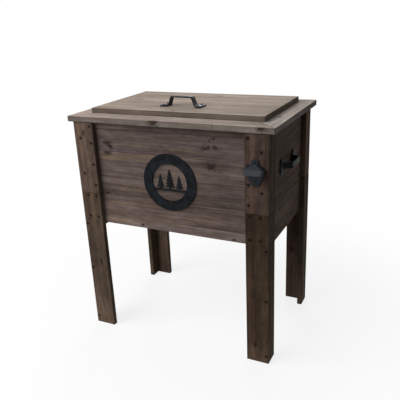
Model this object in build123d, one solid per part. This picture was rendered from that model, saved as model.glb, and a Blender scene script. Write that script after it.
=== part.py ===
"""Rustic wooden patio cooler on four board legs.

An insulated tub hangs in a boarded case. A hinged plank lid closes it, a lever tap drains it,
and fixed pull handles, a bottle opener and a round emblem are screwed to the outside.

Millimetres, +Z up, front towards -Y, origin under the middle of the whole object's box.
All pieces are first built about the middle of the case and moved into that frame when written.
"""
import os
from math import sqrt

from build123d import *

# Board stock
board_width = 69.4
board_thickness = 16.0
side_board_width = 36.4
arris = 0.8

# How far a cut runs past its face, and how near two points count as one
cut_overrun = 1.0
same_place = 0.01

# Rim: the flat frame on top of the case
rim_width = 660.0
rim_depth = 421.3
rim_top = 723.7
rim_thickness = 16.9
rim_overhang_side = 17.4
rim_overhang_front = 3.7

# Case and legs
front_panel_bottom = 379.4
side_rail_height = 18.4
side_rail_width = 36.0
leg_height = 480.0
bottom_strip = 29.6
narrowest_strip = 8.0
floor_board_count = 5

# Lid
lid_side_inset = 48.6
lid_front_inset = 60.6
lid_back_inset = 36.0
lid_thickness = 15.6
lid_plank_count = 5
batten_width = 45.0
batten_thickness = 16.0
batten_end_gap = 4.0
batten_centre_share = 0.66

# Tub and its insulation
tub_wall = 3.0
tub_rim_gap = 0.6
tub_corner = 8.0
tub_floor_easing = 1.0
tub_flange = 14.0
tub_top_drop = 2.2
floor_foam = 16.6

# Lid plug: the tray that reaches down into the tub
plug_gap = 3.2
plug_depth = 25.0
plug_wall = 2.0
plug_corner = 6.0
foam_play = 0.2
gasket_thickness = 1.9
gasket_width = 5.0

# Pull handles, one on the lid and one on each side
pull_length = 136.0
pull_rise = 31.0
pull_thickness = 5.0
pull_foot_length = 22.0
pull_foot_width = 46.0
pull_grip_width = 18.0
pull_leg_run = 9.0
pull_neck_run = 7.0
pull_neck_rise = 4.0
pull_bend = 12.0
pull_foot_corner = 6.0
pull_edge = 2.0
pull_screw_pitch = 28.0
lid_pull_x = -8.5
lid_pull_y = -62.0
side_pull_height = 576.0

# Bottle opener, measured about its middle: x right, y up, z out of the leg
opener_inset = 38.6
opener_height = 600.0
opener_plate = 4.0
opener_neck_half = 10.0
opener_neck_top = 37.0
opener_shoulder = 21.0
opener_waist_half = 27.0
opener_waist = 6.0
opener_hip_half = 22.0
opener_hip = -13.0
opener_toe_half = 10.5
opener_toe = -36.0
opener_corner = 5.0
opener_edge = 1.0
hood_wall = 3.2
hood_corner = 5.0
hood_corner_limit = 0.9

# Sections of the hood: height, half width, reach out of the leg
hood_mouth = (-2.0, 26.0, 26.0)
hood_shoulder = (12.0, 29.0, 19.0)
hood_crown = (24.0, 9.0, 6.0)
opener_top_screw = 31.0
opener_toe_screw = -27.0

# Emblem: a flat ring with three firs standing on a ground bar
emblem_x = 3.0
emblem_height = 539.0
emblem_radius = 87.0
emblem_hole_radius = 57.0
emblem_thickness = 3.6
emblem_edge = 0.8
fir_thickness = 2.6
ground_drop = 20.0
ground_bar = 6.0
middle_fir_height = 62.0
middle_fir_width = 34.0
outer_fir_height = 44.0
outer_fir_width = 26.0
outer_fir_offset = 31.0
fir_overlap = 0.34
fir_tier_shares = (1.0, 0.8, 0.6)
emblem_screw_radius = 72.0

# Hinges
hinge_offset = 185.0
hinge_length = 50.0
hinge_knuckle = 3.0
hinge_pin = 1.2
hinge_pin_play = 0.05
hinge_leaf = 1.5
hinge_frame_leaf_width = 24.0
hinge_lid_leaf_edge = 0.6
hinge_stand_off = 0.3
hinge_knuckle_gap = 0.35
hinge_pin_head = 1.8
hinge_knuckle_count = 3
hinge_frame_screw_share = 0.6
hinge_screw_spread = 1 / 3

# Drain on the left side
drain_y = 100.0
drain_rise = 19.0
drain_tail = 9.0
drain_bore = 4.0
drain_hole_play = 0.4
drain_flange = 16.0
drain_flange_thickness = 3.0
drain_boss = 9.5
drain_boss_reach = 19.0
drain_boss_rise = 12.0
drain_nozzle = 6.5
drain_nozzle_length = 18.0
drain_nut = 14.0
drain_nut_thickness = 5.0
drain_gasket_thickness = 2.0
tap_plug = 6.0
tap_plug_play = 0.06
tap_plug_drop = 7.0
tap_skirt_gap = 0.4
tap_lever_length = 26.0
tap_lever_width = 8.0
tap_lever_thickness = 4.0
tap_cap_overlap = 1.0

# Screws: shank radius, head radius, head height, length
wood_screw = (2.0, 3.6, 2.4, 29.0)
hinge_screw = (1.3, 2.4, 1.2, 12.0)
liner_screw = (1.5, 3.0, 1.8, 14.0)
pull_screw = (2.0, 4.2, 2.4, 15.0)
opener_screw = (2.0, 3.8, 2.2, 20.0)
emblem_screw = (1.4, 2.8, 1.4, 14.0)
screw_sink = 0.9
screw_play = 0.1
screw_slot_width = 0.9
screw_slot_depth = 0.8
screw_slot_share = 1.1
screw_tip_share = 0.6
pan_head_round_share = 0.7

# Screw places in the posts and legs
post_inner_screw_inset = 10.8
post_outer_screw_inset = 20.6
leg_inner_screw_inset = 13.9
leg_outer_screw_inset = 24.6
leg_edge_screw_inset = 8.0
left_inner_screw_shares = (0.057, 0.286, 0.582, 0.872)
right_inner_screw_shares = (0.066, 0.397, 0.635, 0.894)
outer_screw_shares = (0.224, 0.722)
leg_pair_drops = (8.5, 79.0)
leg_edge_shares = (0.225, 0.558, 0.95)

# Places worked out from the sizes above
rim_bottom = rim_top - rim_thickness
half_width = rim_width / 2 - rim_overhang_side
half_depth = rim_depth / 2 - rim_overhang_front
panel_x = half_width - board_thickness
panel_y = half_depth - board_thickness
inner_x = panel_x - board_thickness
inner_y = panel_y - board_thickness
opening_x = rim_width / 2 - board_width
opening_y = rim_depth / 2 - board_width
floor_top = front_panel_bottom + board_thickness
tub_x = opening_x - tub_rim_gap
tub_y = opening_y - tub_rim_gap
tub_bottom = floor_top + floor_foam
tub_top = rim_top - tub_top_drop
flange_bottom = rim_bottom - tub_wall
plug_x = tub_x - tub_wall - plug_gap
plug_y = tub_y - tub_wall - plug_gap
lid_top = rim_top + lid_thickness
lid_x = rim_width / 2 - lid_side_inset
lid_front = -rim_depth / 2 + lid_front_inset
lid_back = rim_depth / 2 - lid_back_inset
batten_x = plug_x * batten_centre_share
axis_y = lid_back + hinge_knuckle + hinge_stand_off
axis_z = rim_top + hinge_knuckle + hinge_stand_off
drain_z = tub_bottom + tub_wall + drain_rise
tap_x = -panel_x - drain_boss_reach
front_reach = half_depth + max(hood_mouth[2], hood_shoulder[2])
body_y = (front_reach - rim_depth / 2) / 2
opener_x = half_width - opener_inset
corners = {"front_left": (-1, -1), "front_right": (1, -1), "back_left": (-1, 1), "back_right": (1, 1)}


def block(x_range, y_range, z_range):
    """Box between two values on each axis, given in either order."""
    centre = [sum(pair) / 2 for pair in (x_range, y_range, z_range)]
    size = [abs(pair[1] - pair[0]) for pair in (x_range, y_range, z_range)]
    return Pos(*centre) * Box(*size)


def board(x_range, y_range, z_range):
    """Box with eased edges, as a planed board has."""
    plain = block(x_range, y_range, z_range)
    return chamfer(plain.edges(), arris)


def tube_box(half_x, half_y, z_range, corner):
    """Upright block about the middle of the case with rounded corners."""
    outline = RectangleRounded(2 * half_x, 2 * half_y, corner)
    return Pos(0, 0, z_range[0]) * extrude(outline, z_range[1] - z_range[0])


def facing(origin, x_dir, out_dir):
    """Plane with +Z out of a face and +Y up or back along it."""
    return Plane(origin=origin, x_dir=x_dir, z_dir=out_dir)


def flat_screw(size, sink=0.0):
    """Countersunk screw, its head's top below z = 0 by sink, shank towards -Z."""
    shank_r, head_r, head_h, length = size
    head = Pos(0, 0, -sink - head_h / 2) * Cone(shank_r, head_r, head_h)
    shank_length = length - head_h
    shank = Pos(0, 0, -sink - head_h - shank_length / 2) * Cylinder(shank_r, shank_length)
    tip = chamfer(shank.edges().sort_by(Axis.Z)[0], shank_r * screw_tip_share)
    return cross_recess(head + tip, -sink, head_r)


def flat_screw_hole(size, sink=0.0):
    """Clearance for a countersunk screw: a sunk mouth, a cone and a shank hole."""
    shank_r, head_r, head_h, length = size
    mouth_h = sink + screw_play
    mouth = Pos(0, 0, -sink + mouth_h / 2) * Cylinder(head_r + screw_play, mouth_h)
    cone = Pos(0, 0, -sink - head_h / 2) * Cone(shank_r + screw_play, head_r + screw_play, head_h)
    shank_length = length - head_h + screw_play
    shank = Pos(0, 0, -sink - head_h - shank_length / 2) * Cylinder(shank_r + screw_play, shank_length)
    return mouth + cone + shank


def pan_screw(size, under_head):
    """Round-head screw whose head sits on z = under_head, shank towards -Z."""
    shank_r, head_r, head_h, length = size
    head = Pos(0, 0, under_head + head_h / 2) * Cylinder(head_r, head_h)
    head = fillet(head.edges().sort_by(Axis.Z)[-1], head_h * pan_head_round_share)
    shank = Pos(0, 0, under_head - length / 2) * Cylinder(shank_r, length)
    tip = chamfer(shank.edges().sort_by(Axis.Z)[0], shank_r * screw_tip_share)
    return cross_recess(head + tip, under_head + head_h, head_r)


def pan_screw_hole(size, under_head):
    """Clearance for the shank of a round-head screw."""
    shank_r, _, _, length = size
    reach = length + screw_play
    return Pos(0, 0, under_head - reach / 2) * Cylinder(shank_r + screw_play, reach)


def cross_recess(screw, top, head_r):
    """Cut the driver's cross into a screw head."""
    for turn in (0, 90):
        slot = Box(head_r * screw_slot_share, screw_slot_width, 2 * screw_slot_depth)
        screw -= Pos(0, 0, top) * Rot(0, 0, turn) * slot
    return screw


def post_screw_places(side, face):
    """Planes of the screws in one corner post's face board."""
    shares = left_inner_screw_shares if side < 0 else right_inner_screw_shares
    length = rim_bottom - leg_height
    inner = half_width - board_width + post_inner_screw_inset
    outer = half_width - post_outer_screw_inset
    spots = [(inner, rim_bottom - share * length) for share in shares]
    spots += [(outer, rim_bottom - share * length) for share in outer_screw_shares]
    return [facing((side * x, face * half_depth, z), (-face, 0, 0), (0, face, 0)) for x, z in spots]


def leg_screw_places(side, face):
    """Planes of the screws in one leg's face board."""
    inner = half_width - board_width + leg_inner_screw_inset
    outer = half_width - leg_outer_screw_inset
    edge = half_width - leg_edge_screw_inset
    spots = [(x, leg_height - drop) for x in (inner, outer) for drop in leg_pair_drops]
    spots += [(edge, leg_height * (1 - share)) for share in leg_edge_shares]
    return [facing((side * x, face * half_depth, z), (-face, 0, 0), (0, face, 0)) for x, z in spots]


def frame_screw_cuts(side, face):
    """Clearance for every frame screw at one corner."""
    places = post_screw_places(side, face) + leg_screw_places(side, face)
    return [place * flat_screw_hole(wood_screw, screw_sink) for place in places]


def leg_boards():
    """Face and side board of each leg, and of each post above it."""
    nodes = {}
    for name, (side, face) in corners.items():
        cuts = frame_screw_cuts(side, face)
        if (side, face) == (1, -1):
            cuts += opener_screw_cuts()
        face_x = (side * (half_width - board_width), side * half_width)
        face_y = (face * panel_y, face * half_depth)
        side_x = (side * panel_x, side * half_width)
        side_y = (face * panel_y, face * (panel_y - side_board_width))
        legs, posts = (0, leg_height), (leg_height, rim_bottom)
        nodes[f"leg_face_{name}"] = [board(face_x, face_y, legs) - cuts]
        nodes[f"leg_side_{name}"] = [board(side_x, side_y, legs) - cuts]
        nodes[f"post_{name}"] = [board(face_x, face_y, posts) - cuts, board(side_x, side_y, posts) - cuts]
    return nodes


def plank_rows():
    """Heights of the panel boards: a strip, full boards, and what is left on top."""
    levels = [front_panel_bottom, front_panel_bottom + bottom_strip]
    while levels[-1] + board_width < rim_bottom - narrowest_strip:
        levels.append(levels[-1] + board_width)
    return list(zip(levels, levels[1:] + [rim_bottom]))


def panels():
    """Boards of the four walls, and the rails under the side walls."""
    nodes = {}
    front_cuts = frame_screw_cuts(-1, -1) + frame_screw_cuts(1, -1) + emblem_screw_cuts()
    front_cuts += opener_screw_cuts()
    back_cuts = frame_screw_cuts(-1, 1) + frame_screw_cuts(1, 1)
    back = []
    for number, row in enumerate(plank_rows(), start=1):
        front_board = board((-panel_x, panel_x), (-panel_y, -inner_y), row)
        nodes[f"front_plank_{number}"] = [front_board - front_cuts]
        back.append(board((-panel_x, panel_x), (inner_y, panel_y), row) - back_cuts)
    nodes["back_planks"] = back
    for name, side in (("left", -1), ("right", 1)):
        cuts = side_pull_cuts(side)
        if side < 0:
            cuts.append(drain_cut())
        walls = []
        for row in plank_rows():
            walls.append(board((side * inner_x, side * panel_x), (-inner_y, inner_y), row) - cuts)
        nodes[f"{name}_planks"] = walls
        rail_x = (side * (panel_x - side_rail_width), side * panel_x)
        rail_z = (front_panel_bottom - side_rail_height, front_panel_bottom)
        nodes[f"{name}_bottom_rail"] = [board(rail_x, (-panel_y, panel_y), rail_z)]
    return nodes


def floor_boards():
    """Boards across the bottom rails, under the floor foam."""
    width = 2 * inner_y / floor_board_count
    boards = []
    for number in range(floor_board_count):
        start = -inner_y + number * width
        boards.append(board((-inner_x, inner_x), (start, start + width), (front_panel_bottom, floor_top)))
    return {"floor_boards": boards}


def rim_boards():
    """Four mitred boards on top of the posts, with the hinge screws' holes in the back one."""
    nodes = {}
    x, y = rim_width / 2, rim_depth / 2
    outlines = {
        "rim_front": ((-x, -y), (x, -y), (opening_x, -opening_y), (-opening_x, -opening_y)),
        "rim_back": ((x, y), (-x, y), (-opening_x, opening_y), (opening_x, opening_y)),
        "rim_left": ((-x, y), (-x, -y), (-opening_x, -opening_y), (-opening_x, opening_y)),
        "rim_right": ((x, -y), (x, y), (opening_x, opening_y), (opening_x, -opening_y)),
    }
    for name, points in outlines.items():
        blank = Pos(0, 0, rim_bottom) * extrude(Polygon(*points, align=None), rim_thickness)
        blank = chamfer(blank.edges(), arris)
        if name == "rim_back":
            blank -= [place * flat_screw_hole(hinge_screw) for place in frame_leaf_screw_places()]
        nodes[name] = [blank]
    return nodes


def lid_planks():
    """Boards of the lid, side by side, along X."""
    nodes = {}
    cuts = lid_pull_cuts() + lid_leaf_cuts() + batten_screw_cuts()
    width = (lid_back - lid_front) / lid_plank_count
    for number in range(lid_plank_count):
        start = lid_front + number * width
        plank = board((-lid_x, lid_x), (start, start + width), (rim_top, lid_top))
        nodes[f"lid_plank_{number + 1}"] = [plank - cuts]
    return nodes


def batten_screw_places():
    """Planes of the screws that go up through the battens into the lid planks."""
    width = (lid_back - lid_front) / lid_plank_count
    places = []
    for number in range(lid_plank_count):
        middle = lid_front + (number + 0.5) * width
        if abs(middle) < plug_y - plug_wall - batten_end_gap - liner_screw[1]:
            for side in (-1, 1):
                spot = (side * batten_x, middle, rim_top - batten_thickness)
                places.append(facing(spot, (1, 0, 0), (0, 0, -1)))
    return places


def tray_screw_places():
    """Planes of the screws that hold the tray to the battens."""
    height = rim_top - plug_depth
    spots = [(x, y) for x in (-batten_x, batten_x) for y in (-plug_y / 2, plug_y / 2)]
    return [facing((x, y, height), (1, 0, 0), (0, 0, -1)) for x, y in spots]


def batten_screw_cuts():
    """Clearance for the batten screws."""
    return [place * flat_screw_hole(batten_screw_size()) for place in batten_screw_places()]


def batten_screw_size():
    """Batten screw: through the batten and half of the lid plank."""
    shank_r, head_r, head_h, _ = liner_screw
    return (shank_r, head_r, head_h, batten_thickness + lid_thickness / 2)


def lid_insides():
    """Battens, tray, foam, gasket and screws under the lid planks."""
    cuts = batten_screw_cuts() + [place * flat_screw_hole(liner_screw) for place in tray_screw_places()]
    tray_x, tray_y = plug_x - plug_wall, plug_y - plug_wall
    tray_floor = rim_top - plug_depth + plug_wall
    batten_y = tray_y - batten_end_gap
    battens, pockets = [], []
    for side in (-1, 1):
        x_range = (side * batten_x - batten_width / 2, side * batten_x + batten_width / 2)
        batten = board(x_range, (-batten_y, batten_y), (rim_top - batten_thickness, rim_top))
        battens.append(batten - cuts)
        wide = (x_range[0] - foam_play, x_range[1] + foam_play)
        long_y = batten_y + foam_play
        pockets.append(block(wide, (-long_y, long_y), (rim_top - batten_thickness - foam_play, rim_top)))
    tray = tube_box(plug_x, plug_y, (rim_top - plug_depth, rim_top), plug_corner)
    tray = chamfer(tray.faces().sort_by(Axis.Z)[0].edges(), plug_wall / 2)
    tray -= tube_box(tray_x, tray_y, (tray_floor, rim_top), plug_corner - plug_wall)
    foam_x, foam_y = tray_x - foam_play, tray_y - foam_play
    foam = tube_box(foam_x, foam_y, (tray_floor + foam_play, rim_top), plug_corner - plug_wall)
    gasket_x, gasket_y = tub_x - gasket_width, tub_y - gasket_width
    seal = tube_box(tub_x, tub_y, (rim_top - gasket_thickness, rim_top), tub_corner)
    seal -= tube_box(gasket_x, gasket_y, (rim_top - gasket_thickness, rim_top), plug_corner)
    screws = [place * flat_screw(batten_screw_size()) for place in batten_screw_places()]
    screws += [place * flat_screw(liner_screw) for place in tray_screw_places()]
    screws += [place * flat_screw(hinge_screw) for place in lid_leaf_screw_places()]
    return {
        "lid_battens": battens,
        "lid_liner": [tray - cuts],
        "lid_foam": [foam - pockets - cuts],
        "lid_gasket": [seal],
        "lid_screws": screws,
    }


def tub_and_foam():
    """Plastic tub hung by its flange under the rim, and the foam between it and the case."""
    shell = tube_box(tub_x, tub_y, (tub_bottom, tub_top), tub_corner)
    flange = tube_box(tub_x + tub_flange, tub_y + tub_flange, (flange_bottom, rim_bottom), tub_corner)
    cavity_x, cavity_y = tub_x - tub_wall, tub_y - tub_wall
    cavity = tube_box(cavity_x, cavity_y, (tub_bottom + tub_wall, tub_top), tub_corner - tub_wall)
    cavity = fillet(cavity.faces().sort_by(Axis.Z)[0].edges(), tub_corner - tub_wall - tub_floor_easing)
    shell = fillet(shell.faces().sort_by(Axis.Z)[0].edges(), tub_corner - tub_floor_easing)
    tub = shell + flange - cavity - drain_cut()
    foam_z = (floor_top, flange_bottom)
    walls = []
    for side in (-1, 1):
        walls.append(block((-inner_x, inner_x), (side * tub_y, side * inner_y), foam_z))
        walls.append(block((side * tub_x, side * inner_x), (-tub_y, tub_y), foam_z) - drain_cut())
    slab = block((-tub_x, tub_x), (-tub_y, tub_y), (floor_top, tub_bottom))
    return {"tub_liner": [tub], "foam_walls": walls, "foam_floor": [slab]}


def pull_blank():
    """Arched pull on z = 0, long side on X: wide screw feet that narrow to a flat strap grip."""
    end = pull_length / 2
    foot = end - pull_foot_length
    top = foot - pull_leg_run
    low, high = pull_thickness, pull_rise
    under = high - pull_thickness
    half_side = [(end, 0), (end, low), (foot, low), (top, high)]
    half_under = [(top - pull_thickness, under), (foot - pull_thickness, 0)]
    left_side = [(-x, z) for x, z in reversed(half_side)]
    left_under = [(-x, z) for x, z in reversed(half_under)]
    outline = half_side + left_side + left_under + half_under
    side_view = Polygon(*outline, align=None)
    bends = [v for v in side_view.vertices() if abs(v.X) < end - same_place]
    side_view = fillet(bends, pull_bend - pull_thickness)
    bar = extrude(Plane.XZ * side_view, pull_foot_width / 2, both=True)
    wide, narrow = pull_foot_width / 2, pull_grip_width / 2
    neck, throat = foot + pull_neck_run, foot - pull_neck_rise
    waist = [(end, wide), (neck, wide), (throat, narrow), (-throat, narrow), (-neck, wide), (-end, wide)]
    plan = Polygon(*waist, *[(x, -y) for x, y in reversed(waist)], align=None)
    tips = [v for v in plan.vertices() if abs(v.X) > end - same_place]
    necks = [v for v in plan.vertices() if abs(v.X) < end - same_place]
    plan = fillet(tips, pull_foot_corner)
    plan = fillet([v for v in plan.vertices() if near_any(v, necks)], pull_foot_corner)
    pull = bar & extrude(plan, pull_rise, dir=(0, 0, 1))
    return fillet(pull.edges(), pull_edge)


def near_any(vertex, others):
    """True where a vertex lies on one of the others."""
    return any((vertex.center() - other.center()).length < same_place for other in others)


def pull_screw_spots():
    """Places of the four screws in a pull's own frame."""
    x = (pull_length - pull_foot_length) / 2
    y = pull_screw_pitch / 2
    return [(sx * x, sy * y) for sx in (-1, 1) for sy in (-1, 1)]


def pull_plane(kind):
    """Plane on which a pull stands: on the lid, or on the left or right wall."""
    if kind == "lid":
        return facing((lid_pull_x, lid_pull_y, lid_top), (1, 0, 0), (0, 0, 1))
    side = 1 if kind == "right" else -1
    return facing((side * panel_x, 0, side_pull_height), (0, side, 0), (side, 0, 0))


def pull_screw_cuts(kind):
    """Screw holes of one pull, through its feet and into the wood."""
    plane = pull_plane(kind)
    hole = pan_screw_hole(pull_screw, pull_thickness)
    return [plane * (Pos(x, y, 0) * hole) for x, y in pull_screw_spots()]


def lid_pull_cuts():
    """Screw holes of the lid's pull."""
    return pull_screw_cuts("lid")


def side_pull_cuts(side):
    """Screw holes of one side pull."""
    return pull_screw_cuts("right" if side > 0 else "left")


def pulls():
    """The three pulls and their screws."""
    nodes = {"side_pull_screws": []}
    for kind, name in (("lid", "lid_handle"), ("left", "side_handle_left"), ("right", "side_handle_right")):
        plane = pull_plane(kind)
        nodes[name] = [plane * pull_blank() - pull_screw_cuts(kind)]
        screws = [plane * (Pos(x, y, 0) * pan_screw(pull_screw, pull_thickness)) for x, y in pull_screw_spots()]
        if kind == "lid":
            nodes["lid_pull_screws"] = screws
        else:
            nodes["side_pull_screws"] += screws
    return nodes


def opener_plane():
    """Plane of the opener's back on the front right post."""
    return facing((opener_x, -half_depth, opener_height), (1, 0, 0), (0, -1, 0))


def opener_screw_cuts():
    """Screw holes of the opener, through its plate and into the post."""
    hole = pan_screw_hole(opener_screw, opener_plate)
    return [opener_plane() * (Pos(0, y, 0) * hole) for y in (opener_top_screw, opener_toe_screw)]


def opener():
    """Cast opener: a shaped back plate and a flaring hood that is open below."""
    half = [
        (opener_neck_half, opener_neck_top),
        (opener_neck_half, opener_shoulder),
        (opener_waist_half, opener_waist),
        (opener_hip_half, opener_hip),
        (opener_toe_half, opener_toe),
    ]
    outline = Polygon(*half, *[(-x, y) for x, y in reversed(half)], align=None)
    outline = fillet(outline.vertices(), opener_corner)
    plate = extrude(outline, opener_plate, dir=(0, 0, 1))
    plate = fillet(plate.faces().sort_by(Axis.Z)[-1].edges(), opener_edge)
    hood = hood_form(0) - hood_form(hood_wall)
    reach = max(hood_mouth[2], hood_shoulder[2])
    span = 2 * max(hood_mouth[1], hood_shoulder[1])
    behind = block((-span, span), (hood_mouth[0], hood_crown[0]), (-reach, 0))
    body = plate + (hood - behind)
    screws = []
    for y in (opener_top_screw, opener_toe_screw):
        screws.append(opener_plane() * (Pos(0, y, 0) * pan_screw(opener_screw, opener_plate)))
    return {
        "bottle_opener": [opener_plane() * body - opener_screw_cuts()],
        "opener_screws": screws,
    }


def hood_form(inset):
    """Solid of the hood, symmetric about the post's face, drawn in by inset except at its mouth."""
    sections = []
    for height, half_width_here, reach in (hood_mouth, hood_shoulder, hood_crown):
        level = height - inset
        if (height, half_width_here, reach) == hood_mouth:
            level = height if inset == 0 else height - opener_edge
        elif (height, half_width_here, reach) == hood_shoulder:
            level = height - inset / 2
        across, out = half_width_here - inset, reach - inset
        corner = min(hood_corner, hood_corner_limit * across, hood_corner_limit * out)
        outline = RectangleRounded(2 * across, 2 * out, corner)
        base = Plane(origin=(0, level, 0), x_dir=(1, 0, 0), z_dir=(0, 1, 0))
        sections.append(base * outline)
    return loft(sections, ruled=True)


def emblem_plane():
    """Plane of the emblem's back on the front wall."""
    return facing((emblem_x, -panel_y, emblem_height), (1, 0, 0), (0, -1, 0))


def emblem_screw_cuts():
    """Screw holes of the emblem, at the top and bottom of its ring."""
    hole = pan_screw_hole(emblem_screw, emblem_thickness)
    return [emblem_plane() * (Pos(0, y, 0) * hole) for y in (-emblem_screw_radius, emblem_screw_radius)]


def fir(x, foot, height, width):
    """Outline of a fir in three tiers, standing at (x, foot)."""
    tiers = len(fir_tier_shares)
    tier = height / (tiers - (tiers - 1) * fir_overlap)
    step = tier * (1 - fir_overlap)
    tree = None
    for number, share in enumerate(fir_tier_shares):
        low = foot + number * step
        half = width * share / 2
        triangle = Polygon((x - half, low), (x + half, low), (x, low + tier), align=None)
        tree = triangle if tree is None else tree + triangle
    return tree


def emblem():
    """Flat ring with three firs standing on a ground bar."""
    ring = Cylinder(emblem_radius, emblem_thickness) - Cylinder(emblem_hole_radius, emblem_thickness)
    ring = Pos(0, 0, emblem_thickness / 2) * ring
    front_edges = ring.faces().sort_by(Axis.Z)[-1].edges()
    ring = chamfer(front_edges, emblem_edge)
    chord = sqrt(emblem_hole_radius**2 - ground_drop**2) + emblem_edge
    bar = Pos(0, -ground_drop - ground_bar / 2) * Rectangle(2 * chord, ground_bar)
    foot = -ground_drop - emblem_edge
    firs = bar + fir(0, foot, middle_fir_height, middle_fir_width)
    for side in (-1, 1):
        firs += fir(side * outer_fir_offset, foot, outer_fir_height, outer_fir_width)
    picture = extrude(firs, fir_thickness, dir=(0, 0, 1))
    screws = []
    for y in (-emblem_screw_radius, emblem_screw_radius):
        screws.append(emblem_plane() * (Pos(0, y, 0) * pan_screw(emblem_screw, emblem_thickness)))
    return {
        "emblem": [emblem_plane() * (ring + picture) - emblem_screw_cuts()],
        "emblem_screws": screws,
    }


def knuckle_spans(centre):
    """X ranges of a hinge's knuckles, the odd ones on the frame leaf."""
    start = centre - hinge_length / 2
    pitch = hinge_length / hinge_knuckle_count
    half_gap = hinge_knuckle_gap / 2
    ends = [start + number * pitch for number in range(hinge_knuckle_count + 1)]
    return [(low + half_gap, high - half_gap) for low, high in zip(ends, ends[1:])]


def rod(x_range, radius):
    """Cylinder on the hinge axis."""
    length = x_range[1] - x_range[0]
    return Pos((x_range[0] + x_range[1]) / 2, axis_y, axis_z) * Rot(0, 90, 0) * Cylinder(radius, length)


def leaf_screw_offsets():
    """X offsets of a leaf's two screws."""
    return (-hinge_length * hinge_screw_spread, hinge_length * hinge_screw_spread)


def frame_leaf_screw_places():
    """Planes of the screws in the leaves on the rim."""
    y = axis_y + hinge_frame_leaf_width * hinge_frame_screw_share
    top = rim_top + hinge_leaf
    spots = [side * hinge_offset + dx for side in (-1, 1) for dx in leaf_screw_offsets()]
    return [facing((x, y, top), (1, 0, 0), (0, 0, 1)) for x in spots]


def lid_leaf_screw_places():
    """Planes of the screws in the leaves on the lid's back edge."""
    z = (axis_z + hinge_knuckle + lid_top - hinge_lid_leaf_edge) / 2
    spots = [side * hinge_offset + dx for side in (-1, 1) for dx in leaf_screw_offsets()]
    return [facing((x, lid_back + hinge_leaf, z), (-1, 0, 0), (0, 1, 0)) for x in spots]


def lid_leaf_cuts():
    """Screw holes of the hinges in the lid's back board."""
    return [place * flat_screw_hole(hinge_screw) for place in lid_leaf_screw_places()]


def hinges():
    """Two butt hinges, each with a leaf on the rim, a leaf on the lid's back edge and a pin."""
    frame_leaves, lid_leaves, pins = [], [], []
    frame_holes = [place * flat_screw_hole(hinge_screw) for place in frame_leaf_screw_places()]
    for side in (-1, 1):
        centre = side * hinge_offset
        spans = knuckle_spans(centre)
        x_range = (spans[0][0], spans[-1][1])
        frame = block(x_range, (axis_y, axis_y + hinge_frame_leaf_width), (rim_top, rim_top + hinge_leaf))
        lid = block(x_range, (lid_back, lid_back + hinge_leaf), (axis_z, lid_top - hinge_lid_leaf_edge))
        for number, span in enumerate(spans):
            clear = (span[0] - hinge_knuckle_gap, span[1] + hinge_knuckle_gap)
            if number % 2 == 0:
                frame += rod(span, hinge_knuckle)
                lid -= rod(clear, hinge_knuckle + hinge_stand_off)
            else:
                lid += rod(span, hinge_knuckle)
                frame -= rod(clear, hinge_knuckle + hinge_stand_off)
        bore = rod(x_range, hinge_pin + hinge_pin_play)
        frame_leaves.append(frame - bore - frame_holes)
        lid_leaves.append(lid - bore - lid_leaf_cuts())
        pin = rod(x_range, hinge_pin)
        left_head = rod((x_range[0] - hinge_pin, x_range[0]), hinge_pin_head)
        right_head = rod((x_range[1], x_range[1] + hinge_pin), hinge_pin_head)
        pins.append(pin + left_head + right_head)
    screws = [place * flat_screw(hinge_screw) for place in frame_leaf_screw_places()]
    return {
        "hinge_frame_leaves": frame_leaves,
        "hinge_lid_leaves": lid_leaves,
        "hinge_pins": pins,
        "hinge_screws": screws,
    }


def drain_tube(x_range, radius):
    """Cylinder along X on the drain's axis."""
    length = abs(x_range[1] - x_range[0])
    return Pos(sum(x_range) / 2, drain_y, drain_z) * Rot(0, 90, 0) * Cylinder(radius, length)


def tap_rod(z_range, radius):
    """Cylinder on the tap's upright axis."""
    height = z_range[1] - z_range[0]
    return Pos(tap_x, drain_y, sum(z_range) / 2) * Cylinder(radius, height)


def drain_cut():
    """Hole for the drain through the wall, foam and tub."""
    reach = (-panel_x - cut_overrun, -tub_x + tub_wall + cut_overrun)
    return drain_tube(reach, drain_tail + drain_hole_play)


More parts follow.
